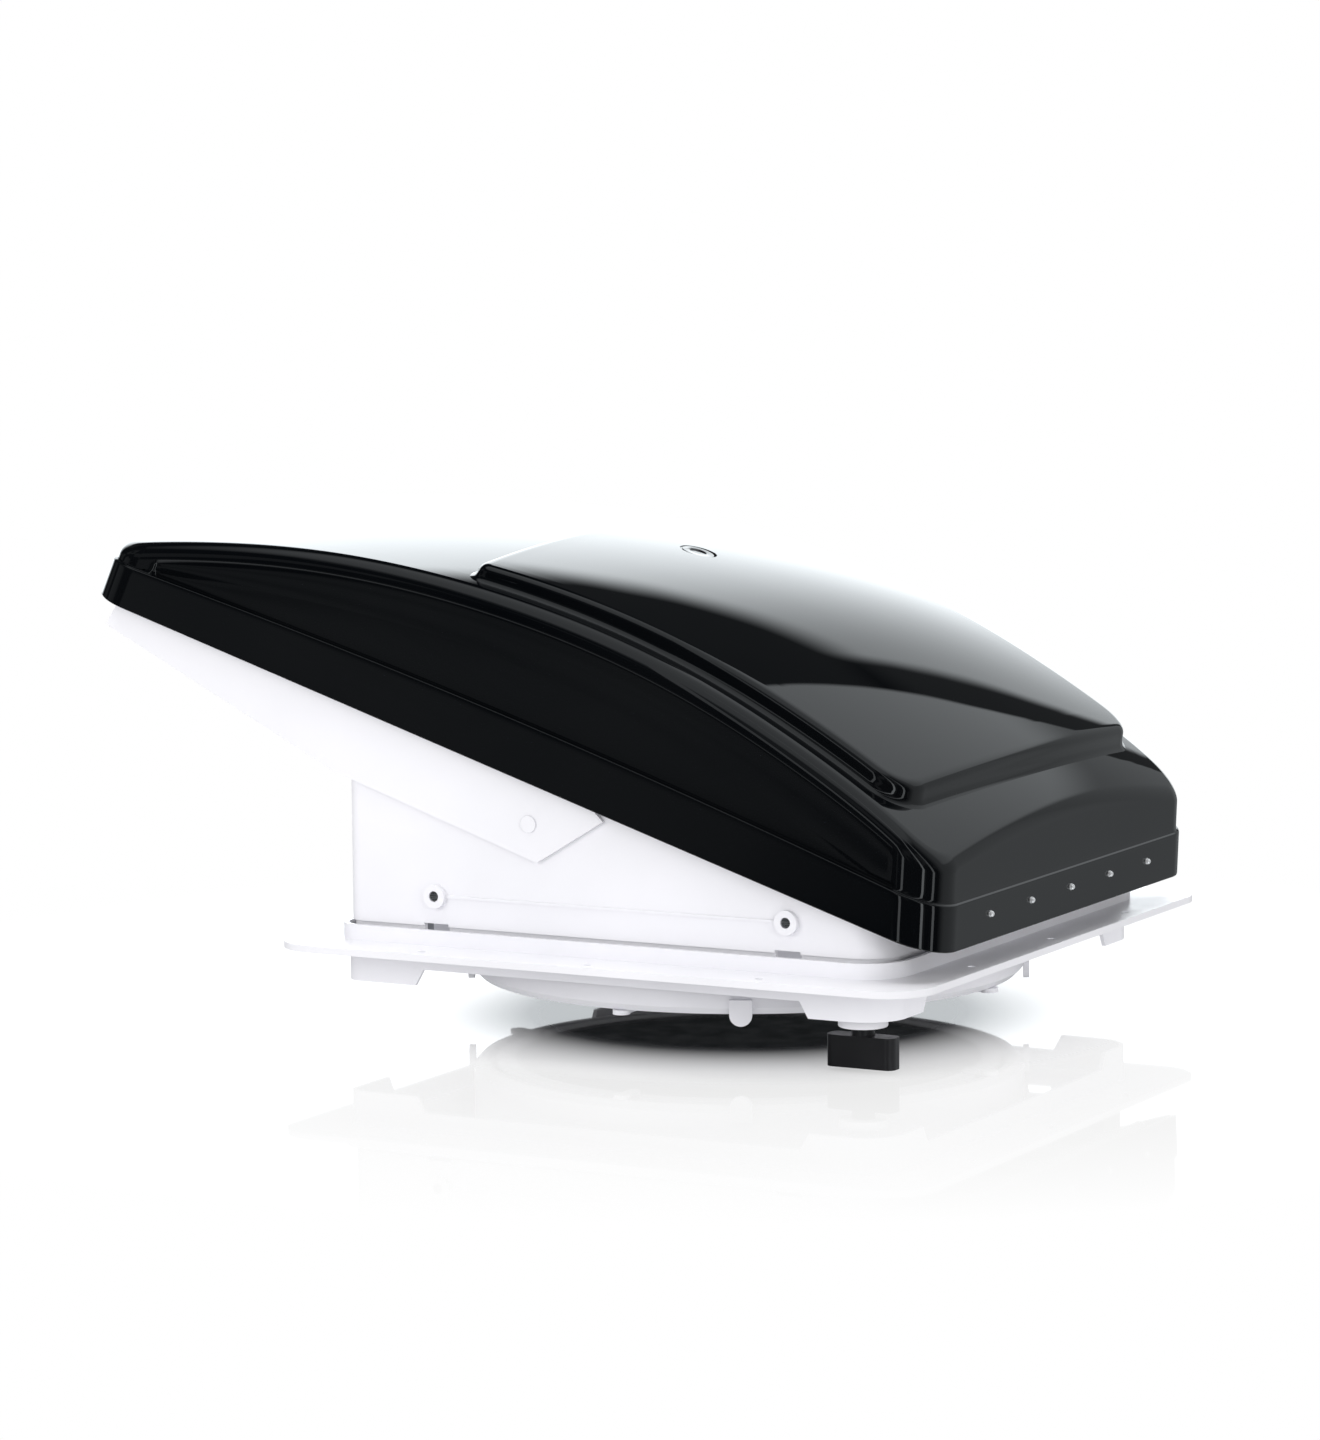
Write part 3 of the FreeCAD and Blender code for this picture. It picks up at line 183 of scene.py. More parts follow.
def circuit_laminate():
    """Solder mask over copper tracks: a fine brick pattern stands for the tracks."""
    made = Surface("board_green_finish", 0.35)
    tracks = made.add("TexBrick", Scale=420.0)
    tracks.inputs["Mortar Size"].default_value = 0.06
    made.link(made.place, tracks.inputs["Vector"])
    made.colour(tracks.outputs["Fac"], (0.010, 0.10, 0.035), (0.03, 0.20, 0.075), 0.1, 0.9)
    return made.bump(tracks.outputs["Fac"], 0.00003)


FINISH = {
    "white_plastic": moulded("white_plastic_finish", (0.85, 0.848, 0.885), (0.89, 0.886, 0.925), 0.34),
    "smoke_lid": smoked_plastic(),
    "black_plastic": moulded("black_plastic_finish", (0.008, 0.008, 0.009), (0.016, 0.016, 0.018),
                             0.34, 0.00004),
    "grey_plastic": moulded("grey_plastic_finish", (0.24, 0.25, 0.265), (0.30, 0.31, 0.33), 0.45),
    "button_plastic": moulded("button_plastic_finish", (0.045, 0.05, 0.06), (0.07, 0.075, 0.09), 0.6),
    "fan_plastic": moulded("fan_plastic_finish", (0.58, 0.60, 0.63), (0.68, 0.70, 0.73), 0.28),
    "black_rubber": moulded("black_rubber_finish", (0.012, 0.012, 0.012), (0.025, 0.025, 0.024),
                            0.8, 0.00006),
    "steel": brushed("steel_finish", (0.46, 0.47, 0.48), (0.62, 0.63, 0.64), 0.28),
    "zinc": spangled("zinc_finish", (0.42, 0.43, 0.45), (0.66, 0.67, 0.69), 0.38),
    "painted_steel": moulded("painted_steel_finish", (0.52, 0.535, 0.56), (0.60, 0.61, 0.635),
                             0.42, 0.00008),
    "motor_case": moulded("motor_case_finish", (0.012, 0.012, 0.014), (0.03, 0.03, 0.034),
                          0.4, 0.00005),
    "chrome": brushed("chrome_finish", (0.80, 0.81, 0.83), (0.90, 0.91, 0.92), 0.24, metallic=0.6),
    "brass": brushed("brass_finish", (0.50, 0.36, 0.12), (0.68, 0.50, 0.20), 0.3),
    "screen_mesh": woven_screen(),
    "board_green": circuit_laminate(),
}


# ---------------------------------------------------------------- mesh helpers

SHARP_ANGLE = 50.0

def add_mesh(name, points, faces):
    """A mesh object from millimetre points, with its faces turned outward."""
    mesh = bpy.data.meshes.new(name)
    mesh.from_pydata([tuple(p) for p in np.asarray(points) * MM], [], faces)
    shape = bmesh.new()
    shape.from_mesh(mesh)
    bmesh.ops.recalc_face_normals(shape, faces=shape.faces)
    shape.to_mesh(mesh)
    shape.free()
    made = bpy.data.objects.new(name, mesh)
    bpy.context.scene.collection.objects.link(made)
    return made


def make_piece(name, points, faces, body, slot_name, replaces=(), sharp=SHARP_ANGLE):
    """A smooth shaded piece that rides on a body and takes the place of CAD nodes."""
    piece = add_mesh(name, points, faces)
    mesh = piece.data
    for polygon in mesh.polygons:
        polygon.use_smooth = True
    mesh.set_sharp_from_angle(angle=math.radians(sharp))
    mesh.materials.append(FINISH[slot_name].material)
    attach(piece, body)
    if replaces:
        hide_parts(*replaces)
    weigh = piece.modifiers.new("weigh", "WEIGHTED_NORMAL")
    weigh.keep_sharp = True
    return piece


class Skin:
    """Points and faces gathered row by row, where a row goes once round the shape."""

    def __init__(self):
        self.points = []
        self.faces = []

    def row(self, points):
        start = len(self.points)
        self.points.extend(points)
        return list(range(start, start + len(points)))

    def bridge(self, first, second, closed=True):
        count = len(first)
        for i in range(count if closed else count - 1):
            j = (i + 1) % count
            self.faces.append((first[i], first[j], second[j], second[i]))

    def stack(self, rows, closed=True):
        made = [self.row(points) for points in rows]
        for first, second in zip(made, made[1:]):
            self.bridge(first, second, closed)
        return made


# ---------------------------------------------------------------- rounded plan outlines

class Outline:
    """Columns round a rounded rectangle: each is a corner pair, a share between them and an angle.
    The sides come in the order near, front, far, rear, and each starts and ends mid-corner."""

    def __init__(self, arc_steps, long_shares, short_shares):
        columns = []
        self.side_counts = []
        shares = [long_shares, short_shares, [1 - s for s in reversed(long_shares)], short_shares]
        for side in range(4):
            middle = -90 + 90 * side
            first, second = side, (side + 1) % 4
            arc = np.linspace(-45, 0, arc_steps, endpoint=False)
            columns += [(first, first, 0.0, middle + a) for a in arc]
            columns += [(first, second, s, float(middle)) for s in shares[side]]
            columns += [(second, second, 0.0, middle - a) for a in arc[:0:-1]]
            self.side_counts.append(2 * arc_steps + len(shares[side]) - 1)
        self.first = np.array([c[0] for c in columns])
        self.second = np.array([c[1] for c in columns])
        self.share = np.array([c[2] for c in columns])
        self.angle = np.radians([c[3] for c in columns])
        self.normal = np.stack([np.cos(self.angle), np.sin(self.angle)], axis=1)
        self.count = len(columns)

    def plan(self, front, rear, half, radius, out=0.0):
        """Plan positions, where the sizes may be arrays, one value per column.
        radius is one value, one per column, or four for the corners rear-near, front-near,
        front-far, rear-far."""
        ends = []
        radii = np.asarray(radius, float)
        for corner in (self.first, self.second):
            r = radii[corner] if radii.shape == (4,) else radii
            at_front = (corner == 1) | (corner == 2)
            u = np.where(at_front, front - r, -rear + r)
            v = np.where(corner >= 2, half - r, -half + r)
            ends.append((u, v, r))
        mixed = [a + (b - a) * self.share for a, b in zip(*ends)]
        u = mixed[0] + (mixed[2] + out) * self.normal[:, 0]
        v = mixed[1] + (mixed[2] + out) * self.normal[:, 1]
        return np.stack([u, v], axis=1)

    def fill(self, skin, row, plan, height):
        """A grid that closes the row: its plan positions are blended from the four sides."""
        starts = np.cumsum([0] + self.side_counts)
        long_count, short_count = self.side_counts[0], self.side_counts[1]
        index = [[(starts[s] + k) % self.count for k in range(self.side_counts[s] + 1)] for s in range(4)]
        near, front, far, rear = index[0], index[1], index[2][::-1], index[3][::-1]
        grid = [[None] * (short_count + 1) for _ in range(long_count + 1)]
        for i in range(long_count + 1):
            for j in range(short_count + 1):
                a, b = i / long_count, j / short_count
                edge = {0: near[i], short_count: far[i]}.get(j)
                if edge is None and i in (0, long_count):
                    edge = rear[j] if i == 0 else front[j]
                if edge is not None:
                    grid[i][j] = row[edge]
                    continue
                p = ((1 - b) * plan[near[i]] + b * plan[far[i]] + (1 - a) * plan[rear[j]]
                     + a * plan[front[j]] - (1 - a) * (1 - b) * plan[near[0]]
                     - a * (1 - b) * plan[near[-1]] - (1 - a) * b * plan[far[0]]
                     - a * b * plan[far[-1]])
                grid[i][j] = len(skin.points)
                skin.points.append((p[0], p[1], height(p[0], p[1])))
        for i in range(long_count):
            for j in range(short_count):
                skin.faces.append((grid[i][j], grid[i + 1][j], grid[i + 1][j + 1], grid[i][j + 1]))


def smooth_step(x):
    x = np.clip(x, 0.0, 1.0)
    return x * x * (3 - 2 * x)


def arc_points(start, corner, end, steps, weight=0.75):
    """Points from start to end along a rational curve that the corner pulls on."""
    made = []
    for t in np.linspace(0, 1, steps):
        a, b, c = (1 - t) ** 2, 2 * t * (1 - t) * weight, t * t
        made.append((a * start + b * corner + c * end) / (a + b + c))
    return made


# ---------------------------------------------------------------- the lid's form, closed, in its own frame

HINGE = np.array(JOINTS["lid_hinge"]["pos_m"]) / MM
OPEN = math.radians(-JOINTS["lid_hinge"]["range_deg"][0])
FRONT, REAR, HALF, CORNER = 10.0, 572.0, 180.5, 28.0
FRONT_LEAN, REAR_LEAN, SIDE_LEAN = (math.tan(math.radians(a)) for a in (15.0, 5.5, 1.0))
WALL, STEP_IN = 2.4, 2.0
SHOULDER = np.array([(-600, 16), (-553, 37), (-500, 57), (-440, 73), (-370, 88), (-300, 94.5),
                     (-230, 95), (-160, 89.5), (-100, 77), (-50, 64.5), (-13, 50), (20, 27)])
SHOULDER_MIDDLE, SHOULDER_SPAN = 290, 310
SHOULDER_FIT = np.polyfit((SHOULDER[:, 0] + SHOULDER_MIDDLE) / SHOULDER_SPAN, SHOULDER[:, 1], 8)
CROWN, CROWN_HALF = 12.0, 168.0


def dome(u, v):
    """Height of the crowned top at a plan position."""
    ridge = np.polyval(SHOULDER_FIT, (u + SHOULDER_MIDDLE) / SHOULDER_SPAN)
    return ridge + CROWN * (1 - (v / CROWN_HALF) ** 2)


def to_frame(points):
    """Lid points, drawn closed about the hinge axis, placed at the open rest position."""
    p = np.asarray(points, float)
    x = HINGE[0] + p[:, 0] * math.cos(OPEN) + p[:, 2] * math.sin(OPEN)
    z = HINGE[2] - p[:, 0] * math.sin(OPEN) + p[:, 2] * math.cos(OPEN)
    return np.stack([x, HINGE[1] + p[:, 1], z], axis=1)


CURVE_SPAN = 300


def curve_through(knots):
    """A smooth height along u that runs close to the (u, height) knots."""
    knots = np.array(sorted(knots), float)
    fit = np.polyfit(knots[:, 0] / CURVE_SPAN, knots[:, 1], min(4, len(knots) - 1))
    return lambda u: np.polyval(fit, u / CURVE_SPAN)


step_line = curve_through([(20, 24.5), (-125, 29.7), (-250, 31.5), (-420, 29.3), (-590, 22.5)])
crease_line = curve_through([(-531, 28), (-478, 39), (-387, 53), (-283, 61), (-184, 57), (-100, 43),
                             (-38, 28.4)])
RECESS_DEPTH, LENS_DEPTH = 1.1, 0.8
RECESS_START, RECESS_END = 0.0175, 0.9985
BAND_MIDDLE, SIDE_MIDDLE = 25.0, 40.0
SHOULDER_DROP, SHOULDER_REACH = (9.0, 5.0), (10.0, 6.0)
INNER_DROP = 6.0


def lid_plan(outline, inset, w, out=0.0):
    """The lid's outline at height w, set in from the leaning outer wall."""
    return outline.plan(FRONT - inset - w * FRONT_LEAN, REAR - inset - w * REAR_LEAN,
                        HALF - inset - w * SIDE_LEAN, CORNER - inset, out)


def edge_height(outline, inset, drop):
    """Where the leaning wall meets the top surface, for each column."""
    w = np.full(outline.count, 50.0)
    for _ in range(30):
        plan = lid_plan(outline, inset, w)
        w = 0.5 * w + 0.5 * (dome(plan[:, 0], plan[:, 1]) - drop)
    return w


def lid_outline():
    """Columns round the lid, closer together where the side recess begins and ends."""
    long_shares = [0.0, 0.010, RECESS_START, 0.0205, 0.0235]
    long_shares += list(np.linspace(0.031, 0.988, 104)) + [0.994, 0.9965, 1.0]
    return Outline(14, long_shares, list(np.linspace(0, 1, 64)))


def lid_mesh():
    """The smoked lid: band, ledge, recessed sides, rounded shoulder, crowned top and its inside."""
    outline = lid_outline()
    skin = Skin()
    sideways = np.abs(outline.normal[:, 1])
    on_side = (outline.first != outline.second) & (sideways > 0.9)
    share = np.where(outline.normal[:, 1] < 0, outline.share, 1 - outline.share)
    recessed = np.where(on_side, smooth_step((share - RECESS_START) / 0.006)
                        * smooth_step((RECESS_END - share) / 0.003), 0.0)
    blend = smooth_step((sideways - 0.55) / 0.45)

    def at(inset, w):
        w = np.broadcast_to(np.asarray(w, float), (outline.count,))
        plan = lid_plan(outline, inset, w)
        return np.column_stack([plan, w])

    step = step_line(at(0.0, BAND_MIDDLE)[:, 0])
    rows = [at(1.0, 0.0), at(0.45, 0.05), at(0.1, 0.35), at(0.0, 0.9)]
    rows += [at(0.0, step * s) for s in (0.3, 0.6, 0.85)]
    rows += [at(0.0, step - 0.9), at(0.12, step - 0.35), at(0.5, step), at(1.4, step + 0.25)]

    edge_w = edge_height(outline, STEP_IN, 0.0)
    down, across = (side * sideways ** 2 + end * (1 - sideways ** 2)
                    for side, end in (SHOULDER_DROP, SHOULDER_REACH))
    start_w = edge_w - down
    crease = np.clip(crease_line(at(STEP_IN, SIDE_MIDDLE)[:, 0]), step + 3.0, start_w - 6.0)
    shares = (0.06, 0.35, 0.42, 0.6, 0.93, 0.97)
    plain = [step + 1.0 + (start_w - step - 1.0) * s for s in shares]
    shaped = [step + 1.3, crease - 0.6, crease + 0.6, (crease + start_w) / 2, start_w - 2.4,
              start_w - 0.8]
    depths = [RECESS_DEPTH + LENS_DEPTH] * 2 + [RECESS_DEPTH] * 3 + [0.0]
    rows.append(at(STEP_IN - 0.25 + recessed * depths[0], step + 0.45))
    for even, uneven, depth in zip(plain, shaped, depths):
        w = even + (uneven - even) * blend
        rows.append(at(STEP_IN + recessed * depth, w))

    start = at(STEP_IN, start_w)
    corner = at(STEP_IN, edge_w)
    end_plan = lid_plan(outline, STEP_IN, edge_w, -across)
    end = np.column_stack([end_plan, dome(end_plan[:, 0], end_plan[:, 1])])
    rows += arc_points(start, corner, end, 9, 0.72)
    made = skin.stack([list(map(tuple, r)) for r in rows])
    outline.fill(skin, made[-1], end_plan, dome)

    inset = STEP_IN + WALL + 0.4
    inner_edge = edge_height(outline, inset, WALL)
    inner_rows = [at(1.6, 0.0), at(WALL, 0.5), at(WALL, step - WALL - 0.5), at(inset, step - 0.5)]
    inner_rise = inner_edge - INNER_DROP - (step - 0.5)
    inner_rows += [at(inset, step - 0.5 + inner_rise * s) for s in (0.5, 1.0)]
    inner_plan = lid_plan(outline, inset, inner_edge, -7.0)
    inner_end = np.column_stack([inner_plan, dome(inner_plan[:, 0], inner_plan[:, 1]) - WALL])
    inner_start = at(inset, inner_edge - INNER_DROP)
    inner_rows += arc_points(inner_start, at(inset, inner_edge), inner_end, 5)
    inner = skin.stack([list(map(tuple, r)) for r in inner_rows])
    skin.bridge(made[0], inner[0])
    outline.fill(skin, inner[-1], inner_plan, lambda u, v: dome(u, v) - WALL)
    return skin


def build_lid():
    skin = lid_mesh()
    return make_piece("lid_dome", to_frame(skin.points), skin.faces, "lid", "smoke_lid",
                      ("lid_shell",))


PANEL_FRONT, PANEL_REAR, PANEL_HALF, PANEL_BOW = -42.0, 338.0, 158.0, 5.0
PANEL_CORNERS = (9.0, 24.0, 24.0, 9.0)
FOOT_OUT, FOOT_SINK, BULLNOSE = 4.4, 1.3, 6.0


def panel_rise(u):
    """How far the panel's top stands above the dome: less at the rear than at the front."""
    return 8.3 + 2.6 * np.clip((u + PANEL_REAR) / (PANEL_REAR + PANEL_FRONT), 0, 1)


def panel_mesh():
    """The raised panel on the lid: hollow foot, upright side and a bullnose round the top."""
    outline = Outline(12, list(np.linspace(0, 1, 70)), list(np.linspace(0, 1, 56)))
    skin = Skin()

    def plan_at(out):
        plan = outline.plan(PANEL_FRONT, PANEL_REAR, PANEL_HALF, PANEL_CORNERS, out)
        bow = PANEL_BOW * np.clip(1 - (plan[:, 1] / (PANEL_HALF - PANEL_CORNERS[1])) ** 2, 0, 1)
        plan[:, 0] += bow * smooth_step((plan[:, 0] + 130) / 70)
        return plan

    def at(out, share, lift):
        plan = plan_at(out)
        rise = panel_rise(plan[:, 0])
        return np.column_stack([plan, dome(plan[:, 0], plan[:, 1]) + rise * share + lift])

    profile = [(5.0, 0.0, -0.35), (3.6, 0.0, 0.10), (2.5, 0.0, 0.45), (1.6, 0.0, 1.05), (0.95, 0.0, 1.9),
               (0.5, 0.0, 3.0), (0.2, 0.5, 0.0), (0.0, 1.0, -4.2), (-0.25, 1.0, -2.9), (-0.8, 1.0, -1.75),
               (-1.7, 1.0, -0.85), (-2.9, 1.0, -0.28), (-4.3, 1.0, -0.03), (-BULLNOSE, 1.0, 0.0)]
    made = skin.stack([list(map(tuple, at(*p))) for p in profile])
    outline.fill(skin, made[-1], plan_at(-BULLNOSE), lambda u, v: dome(u, v) + panel_rise(u))
    under = skin.row(list(map(tuple, at(FOOT_OUT, 0.0, -FOOT_SINK))))
    skin.bridge(made[0], under)
    outline.fill(skin, under, plan_at(FOOT_OUT), lambda u, v: dome(u, v) - FOOT_SINK)
    return skin


def turned_points(profile, centre, steps=48):
    """A profile of (radius, height) turned about the upright axis, as rows."""
    angles = np.linspace(0, 2 * math.pi, steps, endpoint=False)
    return [[(centre[0] + r * math.cos(a), centre[1] + r * math.sin(a), centre[2] + h) for a in angles]
            for r, h in profile]


GATE_AT = -279.0


def gate_cutter():
    """The moulding gate's mark: a ring groove round a shallow dish."""
    top = dome(GATE_AT, 0.0) + panel_rise(GATE_AT)
    profile = [(11.25, 6.0), (11.25, -0.9), (9.9, -0.9), (9.6, -0.35), (5.6, -0.35), (5.0, -0.9),
               (3.0, -1.1)]
    skin = Skin()
    rows = skin.stack(turned_points(profile, (GATE_AT, 0.0, top)))
    skin.faces.append(tuple(rows[0]))
    skin.faces.append(tuple(reversed(rows[-1])))
    return add_mesh("gate_cutter", to_frame(skin.points), skin.faces)


def apply_modifier(piece, modifier):
    bpy.context.view_layer.objects.active = piece
    piece.select_set(True)
    bpy.ops.object.modifier_apply(modifier=modifier.name)
    piece.select_set(False)


def build_panel():
    skin = panel_mesh()
    panel = make_piece("lid_panel", to_frame(skin.points), skin.faces, "lid", "smoke_lid")
    cutter = gate_cutter()
    recess = panel.modifiers.new("gate", "BOOLEAN")
    recess.operation = "DIFFERENCE"
    recess.solver = "EXACT"
    recess.object = cutter
    apply_modifier(panel, recess)
    bpy.data.objects.remove(cutter)
    panel.data.set_sharp_from_angle(angle=math.radians(SHARP_ANGLE))
    return panel


# ---------------------------------------------------------------- the insect screen

SCREEN_PITCH, WIRE_HALF, WIRE_LIFT, WIRE_SHARP_ANGLE = 2.6, 0.26, 0.16, 60.0


def build_screen():
    """The insect screen: crossing wires cut to the round of its frame."""
    low, high = (np.array(corner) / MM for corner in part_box("insect_screen"))
    centre = (low + high) / 2
    radius = (high[0] - low[0]) / 2 - WIRE_HALF
    skin = Skin()
    last = int(radius / SCREEN_PITCH)
    for along, across, lift in ((0, 1, -WIRE_LIFT), (1, 0, WIRE_LIFT)):
        for k in range(-last, last + 1):
            offset = k * SCREEN_PITCH
            reach = math.sqrt(radius ** 2 - offset ** 2)
            rows = []
            for end in (-reach, reach):
                loop = []
                for side, rise in ((-1, 0), (0, -1), (1, 0), (0, 1)):
                    point = [0.0, 0.0, centre[2] + lift + rise * WIRE_HALF]
                    point[along] = centre[along] + end
                    point[across] = centre[across] + offset + side * WIRE_HALF
                    loop.append(tuple(point))
                rows.append(loop)
            first, second = skin.stack(rows)
            skin.faces += [tuple(first), tuple(reversed(second))]
    return make_piece("screen_wires", skin.points, skin.faces, "base", "screen_mesh",
                      ("insect_screen",), WIRE_SHARP_ANGLE)


# ---------------------------------------------------------------- CAD nodes kept

def soften(node, width, angle=35.0, segments=2):
    """Rounds a CAD node's edges with modifiers, leaving its own mesh alone."""
    weld = node.modifiers.new("weld", "WELD")
    weld.merge_threshold = 0.00002
    flat = node.modifiers.new("flat", "DECIMATE")
    flat.decimate_type = "DISSOLVE"
    flat.angle_limit = math.radians(0.3)
    bevel = node.modifiers.new("bevel", "BEVEL")
    bevel.width = width * MM
    bevel.segments = segments
    bevel.limit_method = "ANGLE"
    bevel.angle_limit = math.radians(angle)
    weigh = node.modifiers.new("weigh", "WEIGHTED_NORMAL")
    weigh.keep_sharp = True


SOFTENED = {"roof_flange": 1.0, "base_housing": 0.5, "rain_shield": 0.4, "fan_ring": 1.2, "lift_knob": 0.8,
            "knob_bushing": 0.8, "control_box": 1.5, "fan_deck": 0.4, "screen_frame": 0.5,
            "gearbox_case": 1.0, "shield_pivot_pins": 0.4}


def dress_cad_nodes():
    """Gives each CAD node the finish of the slot that its material is named after."""
    for node in frame["nodes"].values():
        slot_name = node.data.materials[0].name
        for index in range(len(node.data.materials)):
            node.data.materials[index] = FINISH[slot_name].material


# ---------------------------------------------------------------- stage, lights and camera

FLOOR_HALF, FLOOR_GAP = 14.0, 0.003


def build_floor(level, middle):
    """A pale floor with a painted glow that turns it plain white away from the middle, a painted shadow
    (a dark patch) under the fan ring and a mirror image that fades away. From below it is clear, so the
    underside can be seen."""
    mesh = bpy.data.meshes.new("floor")
    corners = [(x * FLOOR_HALF, y * FLOOR_HALF, 0) for x, y in ((-1, -1), (1, -1), (1, 1), (-1, 1))]
    mesh.from_pydata(corners, [], [(0, 1, 2, 3)])
    floor = bpy.data.objects.new("floor", mesh)
    bpy.context.scene.collection.objects.link(floor)
    floor.location = (middle.x, middle.y, level)
    made = Surface("floor_painted_shadow_and_glow", 1.0, specular=0.0)
    reach = made.add("VectorMath", operation="LENGTH")
    made.link(made.place, reach.inputs[0])
    # painted shadow: the floor colour is nearly black under the fan ring and fades to pale between 0.12
    # and 0.20 m out
    made.colour(reach.outputs["Value"], (0.015, 0.015, 0.018), (0.95, 0.95, 0.96), 0.12, 0.20)
    share = made.ramp(reach.outputs["Value"], 0.20, 0.0, 0.20, 0.60)
    mirror = made.add("BsdfGlossy", Roughness=0.03)
    # painted glow: beyond about 0.13 m from the fan ring the floor turns to plain white emission, which
    # hides its real shading
    painted_glow = made.add("Emission", Color=(1.0, 1.0, 1.0, 1.0))
    painted_glow_mix = made.add("MixShader")
    made.link(made.ramp(reach.outputs["Value"], 0.0, 1.0, 0.13, 0.24), painted_glow_mix.inputs["Fac"])
    made.link(made.shader.outputs[0], painted_glow_mix.inputs[1])
    made.link(painted_glow.outputs[0], painted_glow_mix.inputs[2])
    mix = made.add("MixShader")
    made.link(share, mix.inputs["Fac"])
    made.link(painted_glow_mix.outputs[0], mix.inputs[1])
    made.link(mirror.outputs[0], mix.inputs[2])
    from_below = made.add("MixShader")
    made.link(made.add("NewGeometry").outputs["Backfacing"], from_below.inputs["Fac"])
    made.link(mix.outputs[0], from_below.inputs[1])
    made.link(made.add("BsdfTransparent").outputs[0], from_below.inputs[2])
    made.link(from_below.outputs[0], made.tree.nodes["Material Output"].inputs["Surface"])
    mesh.materials.append(made.material)
    floor.visible_glossy = False


AMBIENT = 0.50
# Upright light bars seen in the lid's corner: start and end bearing in radians, brightness
LIGHT_BARS = ((-1.72, -1.64, 1.4), (-0.78, -0.70, 2.4), (-0.30, -0.22, 1.6))
BAR_EDGE = 0.02


def build_world():
    """Even white light. Mirror reflections see a tall bright screen behind and to the left,
    a grey wall behind and to the right, a soft overhead light, a pale floor, and a dark room
    with light bars in front."""
    world = bpy.data.worlds.new("studio")
    bpy.context.scene.world = world
    world.use_nodes = True
    tree = world.node_tree
    tree.nodes.clear()

    def number(source, socket):
        if hasattr(source, "is_linked"):
            tree.links.new(source, socket)
        else:
            socket.default_value = source

    def calc(operation, first, second=0.0, third=0.0):
        made = tree.nodes.new("ShaderNodeMath")
        made.operation = operation
        for socket, source in zip(made.inputs, (first, second, third)):
            number(source, socket)
        return made.outputs[0]

    def fade(source, start, end, low=0.0, high=1.0):
        """The value low before start, high after end, and smooth between."""
        made = tree.nodes.new("ShaderNodeMapRange")
        made.interpolation_type = "SMOOTHSTEP"
        for name, value in (("Value", source), ("From Min", start), ("From Max", end),
                            ("To Min", low), ("To Max", high)):
            number(value, made.inputs[name])
        return made.outputs["Result"]

    place = tree.nodes.new("ShaderNodeTexCoord").outputs["Generated"]
    split = tree.nodes.new("ShaderNodeSeparateXYZ")
    tree.links.new(place, split.inputs[0])
    x, y, z = split.outputs

    # the bright screen behind and to the left
    behind = fade(y, 0.35, 0.62)
    screen = calc("MULTIPLY", behind, fade(z, 0.47, 0.53, 1.0, 0.0))
    screen = calc("MULTIPLY", screen, fade(z, -0.12, 0.06, 0.12, 1.0))
    near_end = fade(x, -0.135, -0.112, 1.0, 0.05)
    screen = calc("MULTIPLY", screen, calc("MULTIPLY", near_end, fade(x, -0.45, -0.12, 3.6, 1.1)))
    # the grey wall, and its dim end to the right
    wall = calc("MULTIPLY", fade(x, -0.078, -0.070, 0.0, 0.80), fade(y, 0.2, 0.5))
    wall = calc("MULTIPLY", wall, fade(z, 0.34, 0.43, 0.4, 1.0))
    right = calc("MULTIPLY", fade(x, 0.10, 0.50, 0.0, 0.42), fade(y, -0.1, 0.3))
    # overhead light, floor, and the dark room with its haze and light bars
    overhead = fade(z, 0.78, 0.90, 0.0, 0.7)
    ground = fade(z, -0.75, -0.45, 0.8, 0.0)
    clouds = tree.nodes.new("ShaderNodeTexNoise")
    clouds.inputs["Scale"].default_value = 2.2
    tree.links.new(place, clouds.inputs["Vector"])
    haze = fade(clouds.outputs["Fac"], 0.52, 0.60, 0.015, 0.14)
    room = calc("MULTIPLY", haze, fade(y, -0.2, 0.3, 1.0, 0.3))
    angle = calc("ARCTAN2", y, x)
    strip = 0.0
    for start, end, bright in LIGHT_BARS:
        bar = calc("MULTIPLY", fade(angle, start - BAR_EDGE, start, 0.0, bright),
                   fade(angle, end, end + BAR_EDGE, 1.0, 0.0))
        strip = calc("MAXIMUM", bar, strip)
    strip = calc("MULTIPLY", strip, fade(z, -0.45, 0.6, 1.0, 0.5))
    level = calc("MAXIMUM", calc("MAXIMUM", screen, wall), calc("MAXIMUM", overhead, room))
    level = calc("MAXIMUM", calc("MAXIMUM", level, right), calc("MAXIMUM", ground, strip))

    rays = tree.nodes.new("ShaderNodeLightPath")
    even = tree.nodes.new("ShaderNodeBackground")
    even.inputs["Color"].default_value = (1, 1, 1, 1)
    mirror = tree.nodes.new("ShaderNodeBackground")
    mirror.inputs["Color"].default_value = (0.92, 0.97, 1.0, 1)
    tree.links.new(level, mirror.inputs["Strength"])
    tree.links.new(fade(rays.outputs["Is Camera Ray"], 0.0, 1.0, AMBIENT, 1.0), even.inputs["Strength"])
    mix = tree.nodes.new("ShaderNodeMixShader")
    tree.links.new(rays.outputs["Is Glossy Ray"], mix.inputs["Fac"])
    tree.links.new(even.outputs[0], mix.inputs[1])
    tree.links.new(mirror.outputs[0], mix.inputs[2])
    out = tree.nodes.new("ShaderNodeOutputWorld")
    tree.links.new(mix.outputs[0], out.inputs["Surface"])


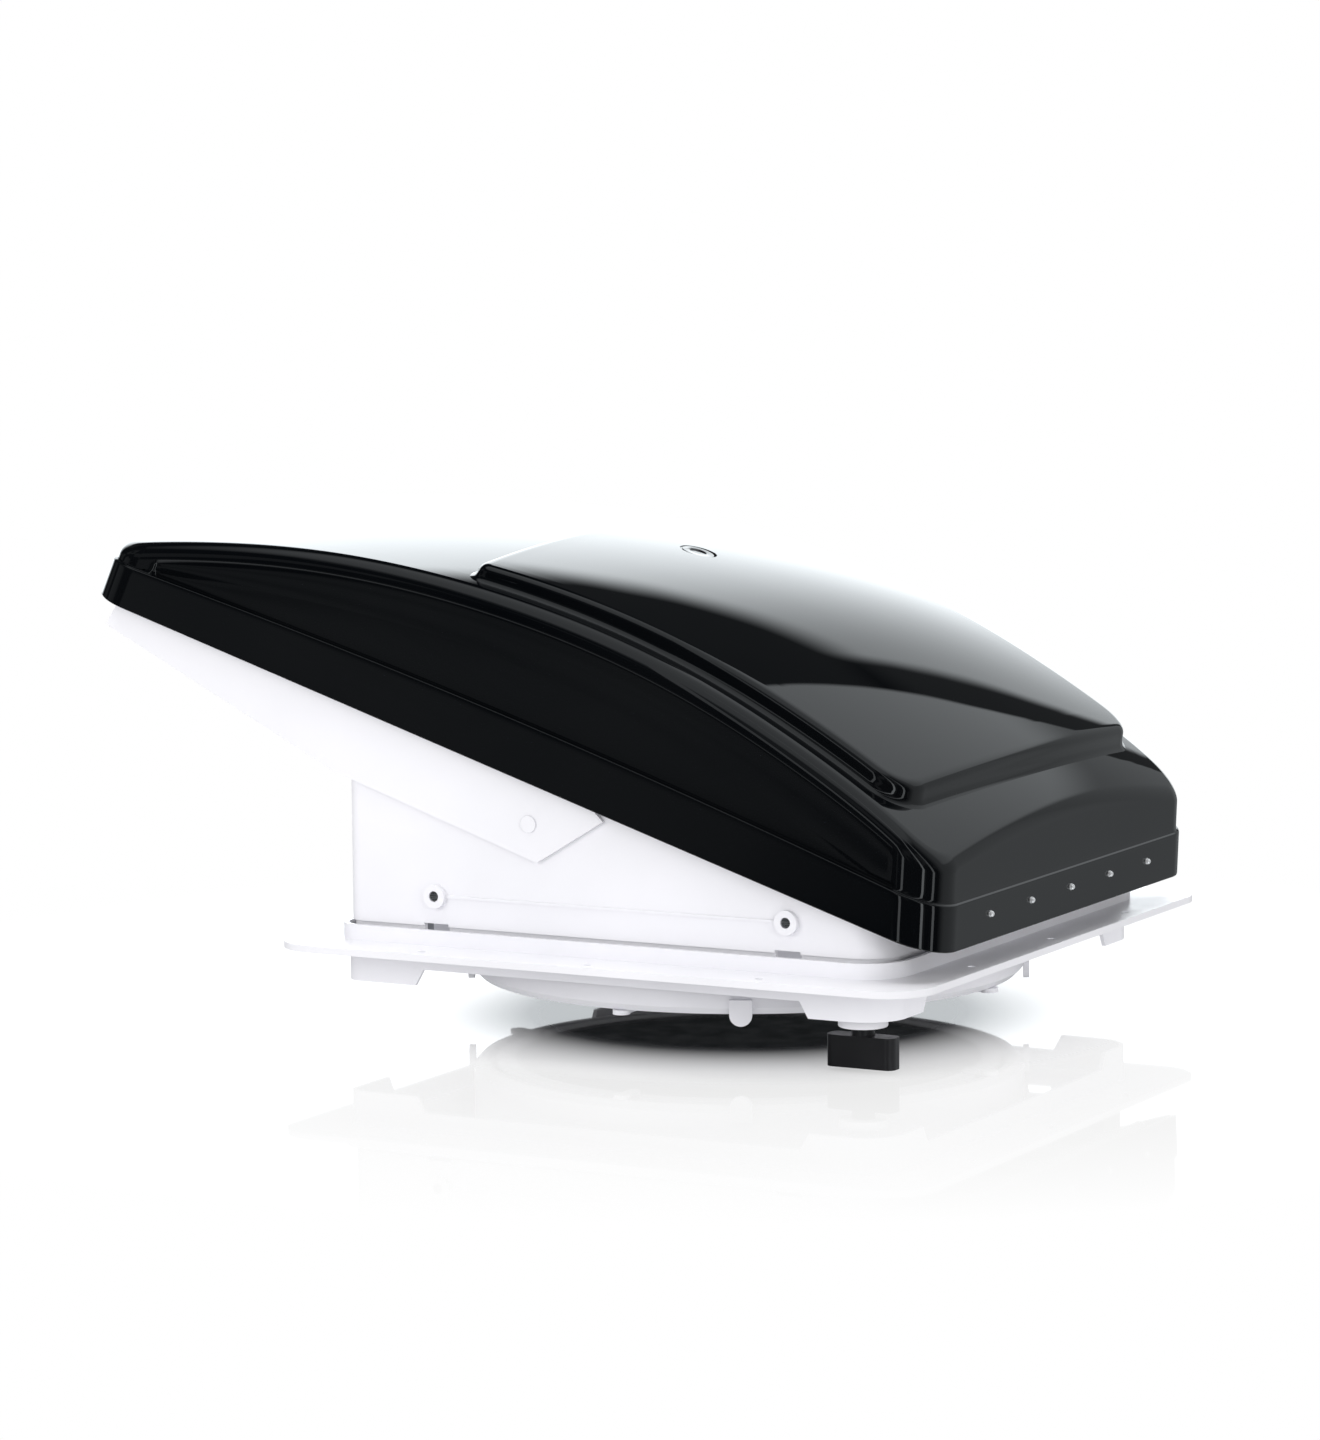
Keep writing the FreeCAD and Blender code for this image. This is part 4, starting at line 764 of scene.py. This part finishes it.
# Name, place, size in metres, power in watts
LIGHTS = [
    ("overhead", (-0.3, 0.2, 2.4), (2.6, 2.6), 66),
    ("near_left", (-1.3, -2.4, 1.0), (1.8, 1.2), 26),
    ("near_right", (2.4, -1.6, 0.8), (1.6, 1.1), 22),
    ("far_left", (-2.4, 1.6, 1.0), (1.6, 1.2), 9),
]


def build_light(name, place, target, size, power):
    """A soft light that points at the target and isn't seen in reflections."""
    data = bpy.data.lights.new(name, "AREA")
    data.energy = power
    data.shape = "RECTANGLE"
    data.size, data.size_y = size
    light = bpy.data.objects.new(name, data)
    bpy.context.scene.collection.objects.link(light)
    light.location = place
    aim = Vector(target) - Vector(place)
    light.rotation_euler = aim.to_track_quat("-Z", "Y").to_euler()
    light.visible_glossy = False


CAMERA_PLACE = (1.476, -2.853, 0.511)
CAMERA_YAW, CAMERA_PITCH, CAMERA_ROLL = 28.268, 6.921, -0.461
CAMERA_LENS, CAMERA_SENSOR = 137.25, 36.0


def build_camera():
    """The photograph's view: where the camera stood, its turn, tilt and roll."""
    yaw, pitch, roll = (math.radians(a) for a in (CAMERA_YAW, CAMERA_PITCH, CAMERA_ROLL))
    look = Vector((-math.sin(yaw) * math.cos(pitch), math.cos(yaw) * math.cos(pitch), -math.sin(pitch)))
    level = look.cross(Vector((0, 0, 1))).normalized()
    upright = level.cross(look)
    right = level * math.cos(roll) + upright * math.sin(roll)
    up = right.cross(look)
    data = bpy.data.cameras.new("camera")
    data.lens = CAMERA_LENS
    data.sensor_width = CAMERA_SENSOR
    camera = bpy.data.objects.new("camera", data)
    bpy.context.scene.collection.objects.link(camera)
    turn = Matrix((right, up, -look)).transposed().to_4x4()
    camera.matrix_world = Matrix.Translation(CAMERA_PLACE) @ turn
    bpy.context.scene.camera = camera


build_camera()
bpy.context.scene.view_settings.view_transform = "Standard"
build_world()
for name, place, size, power in LIGHTS:
    build_light(name, place, (CAD_LOW + CAD_HIGH) / 2, size, power)
ring_low, ring_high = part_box("fan_ring")
build_floor(CAD_LOW.z - FLOOR_GAP, (ring_low + ring_high) / 2)

dress_cad_nodes()
for name, width in SOFTENED.items():
    soften(frame["nodes"][name], width)
build_lid()
build_panel()
build_screen()
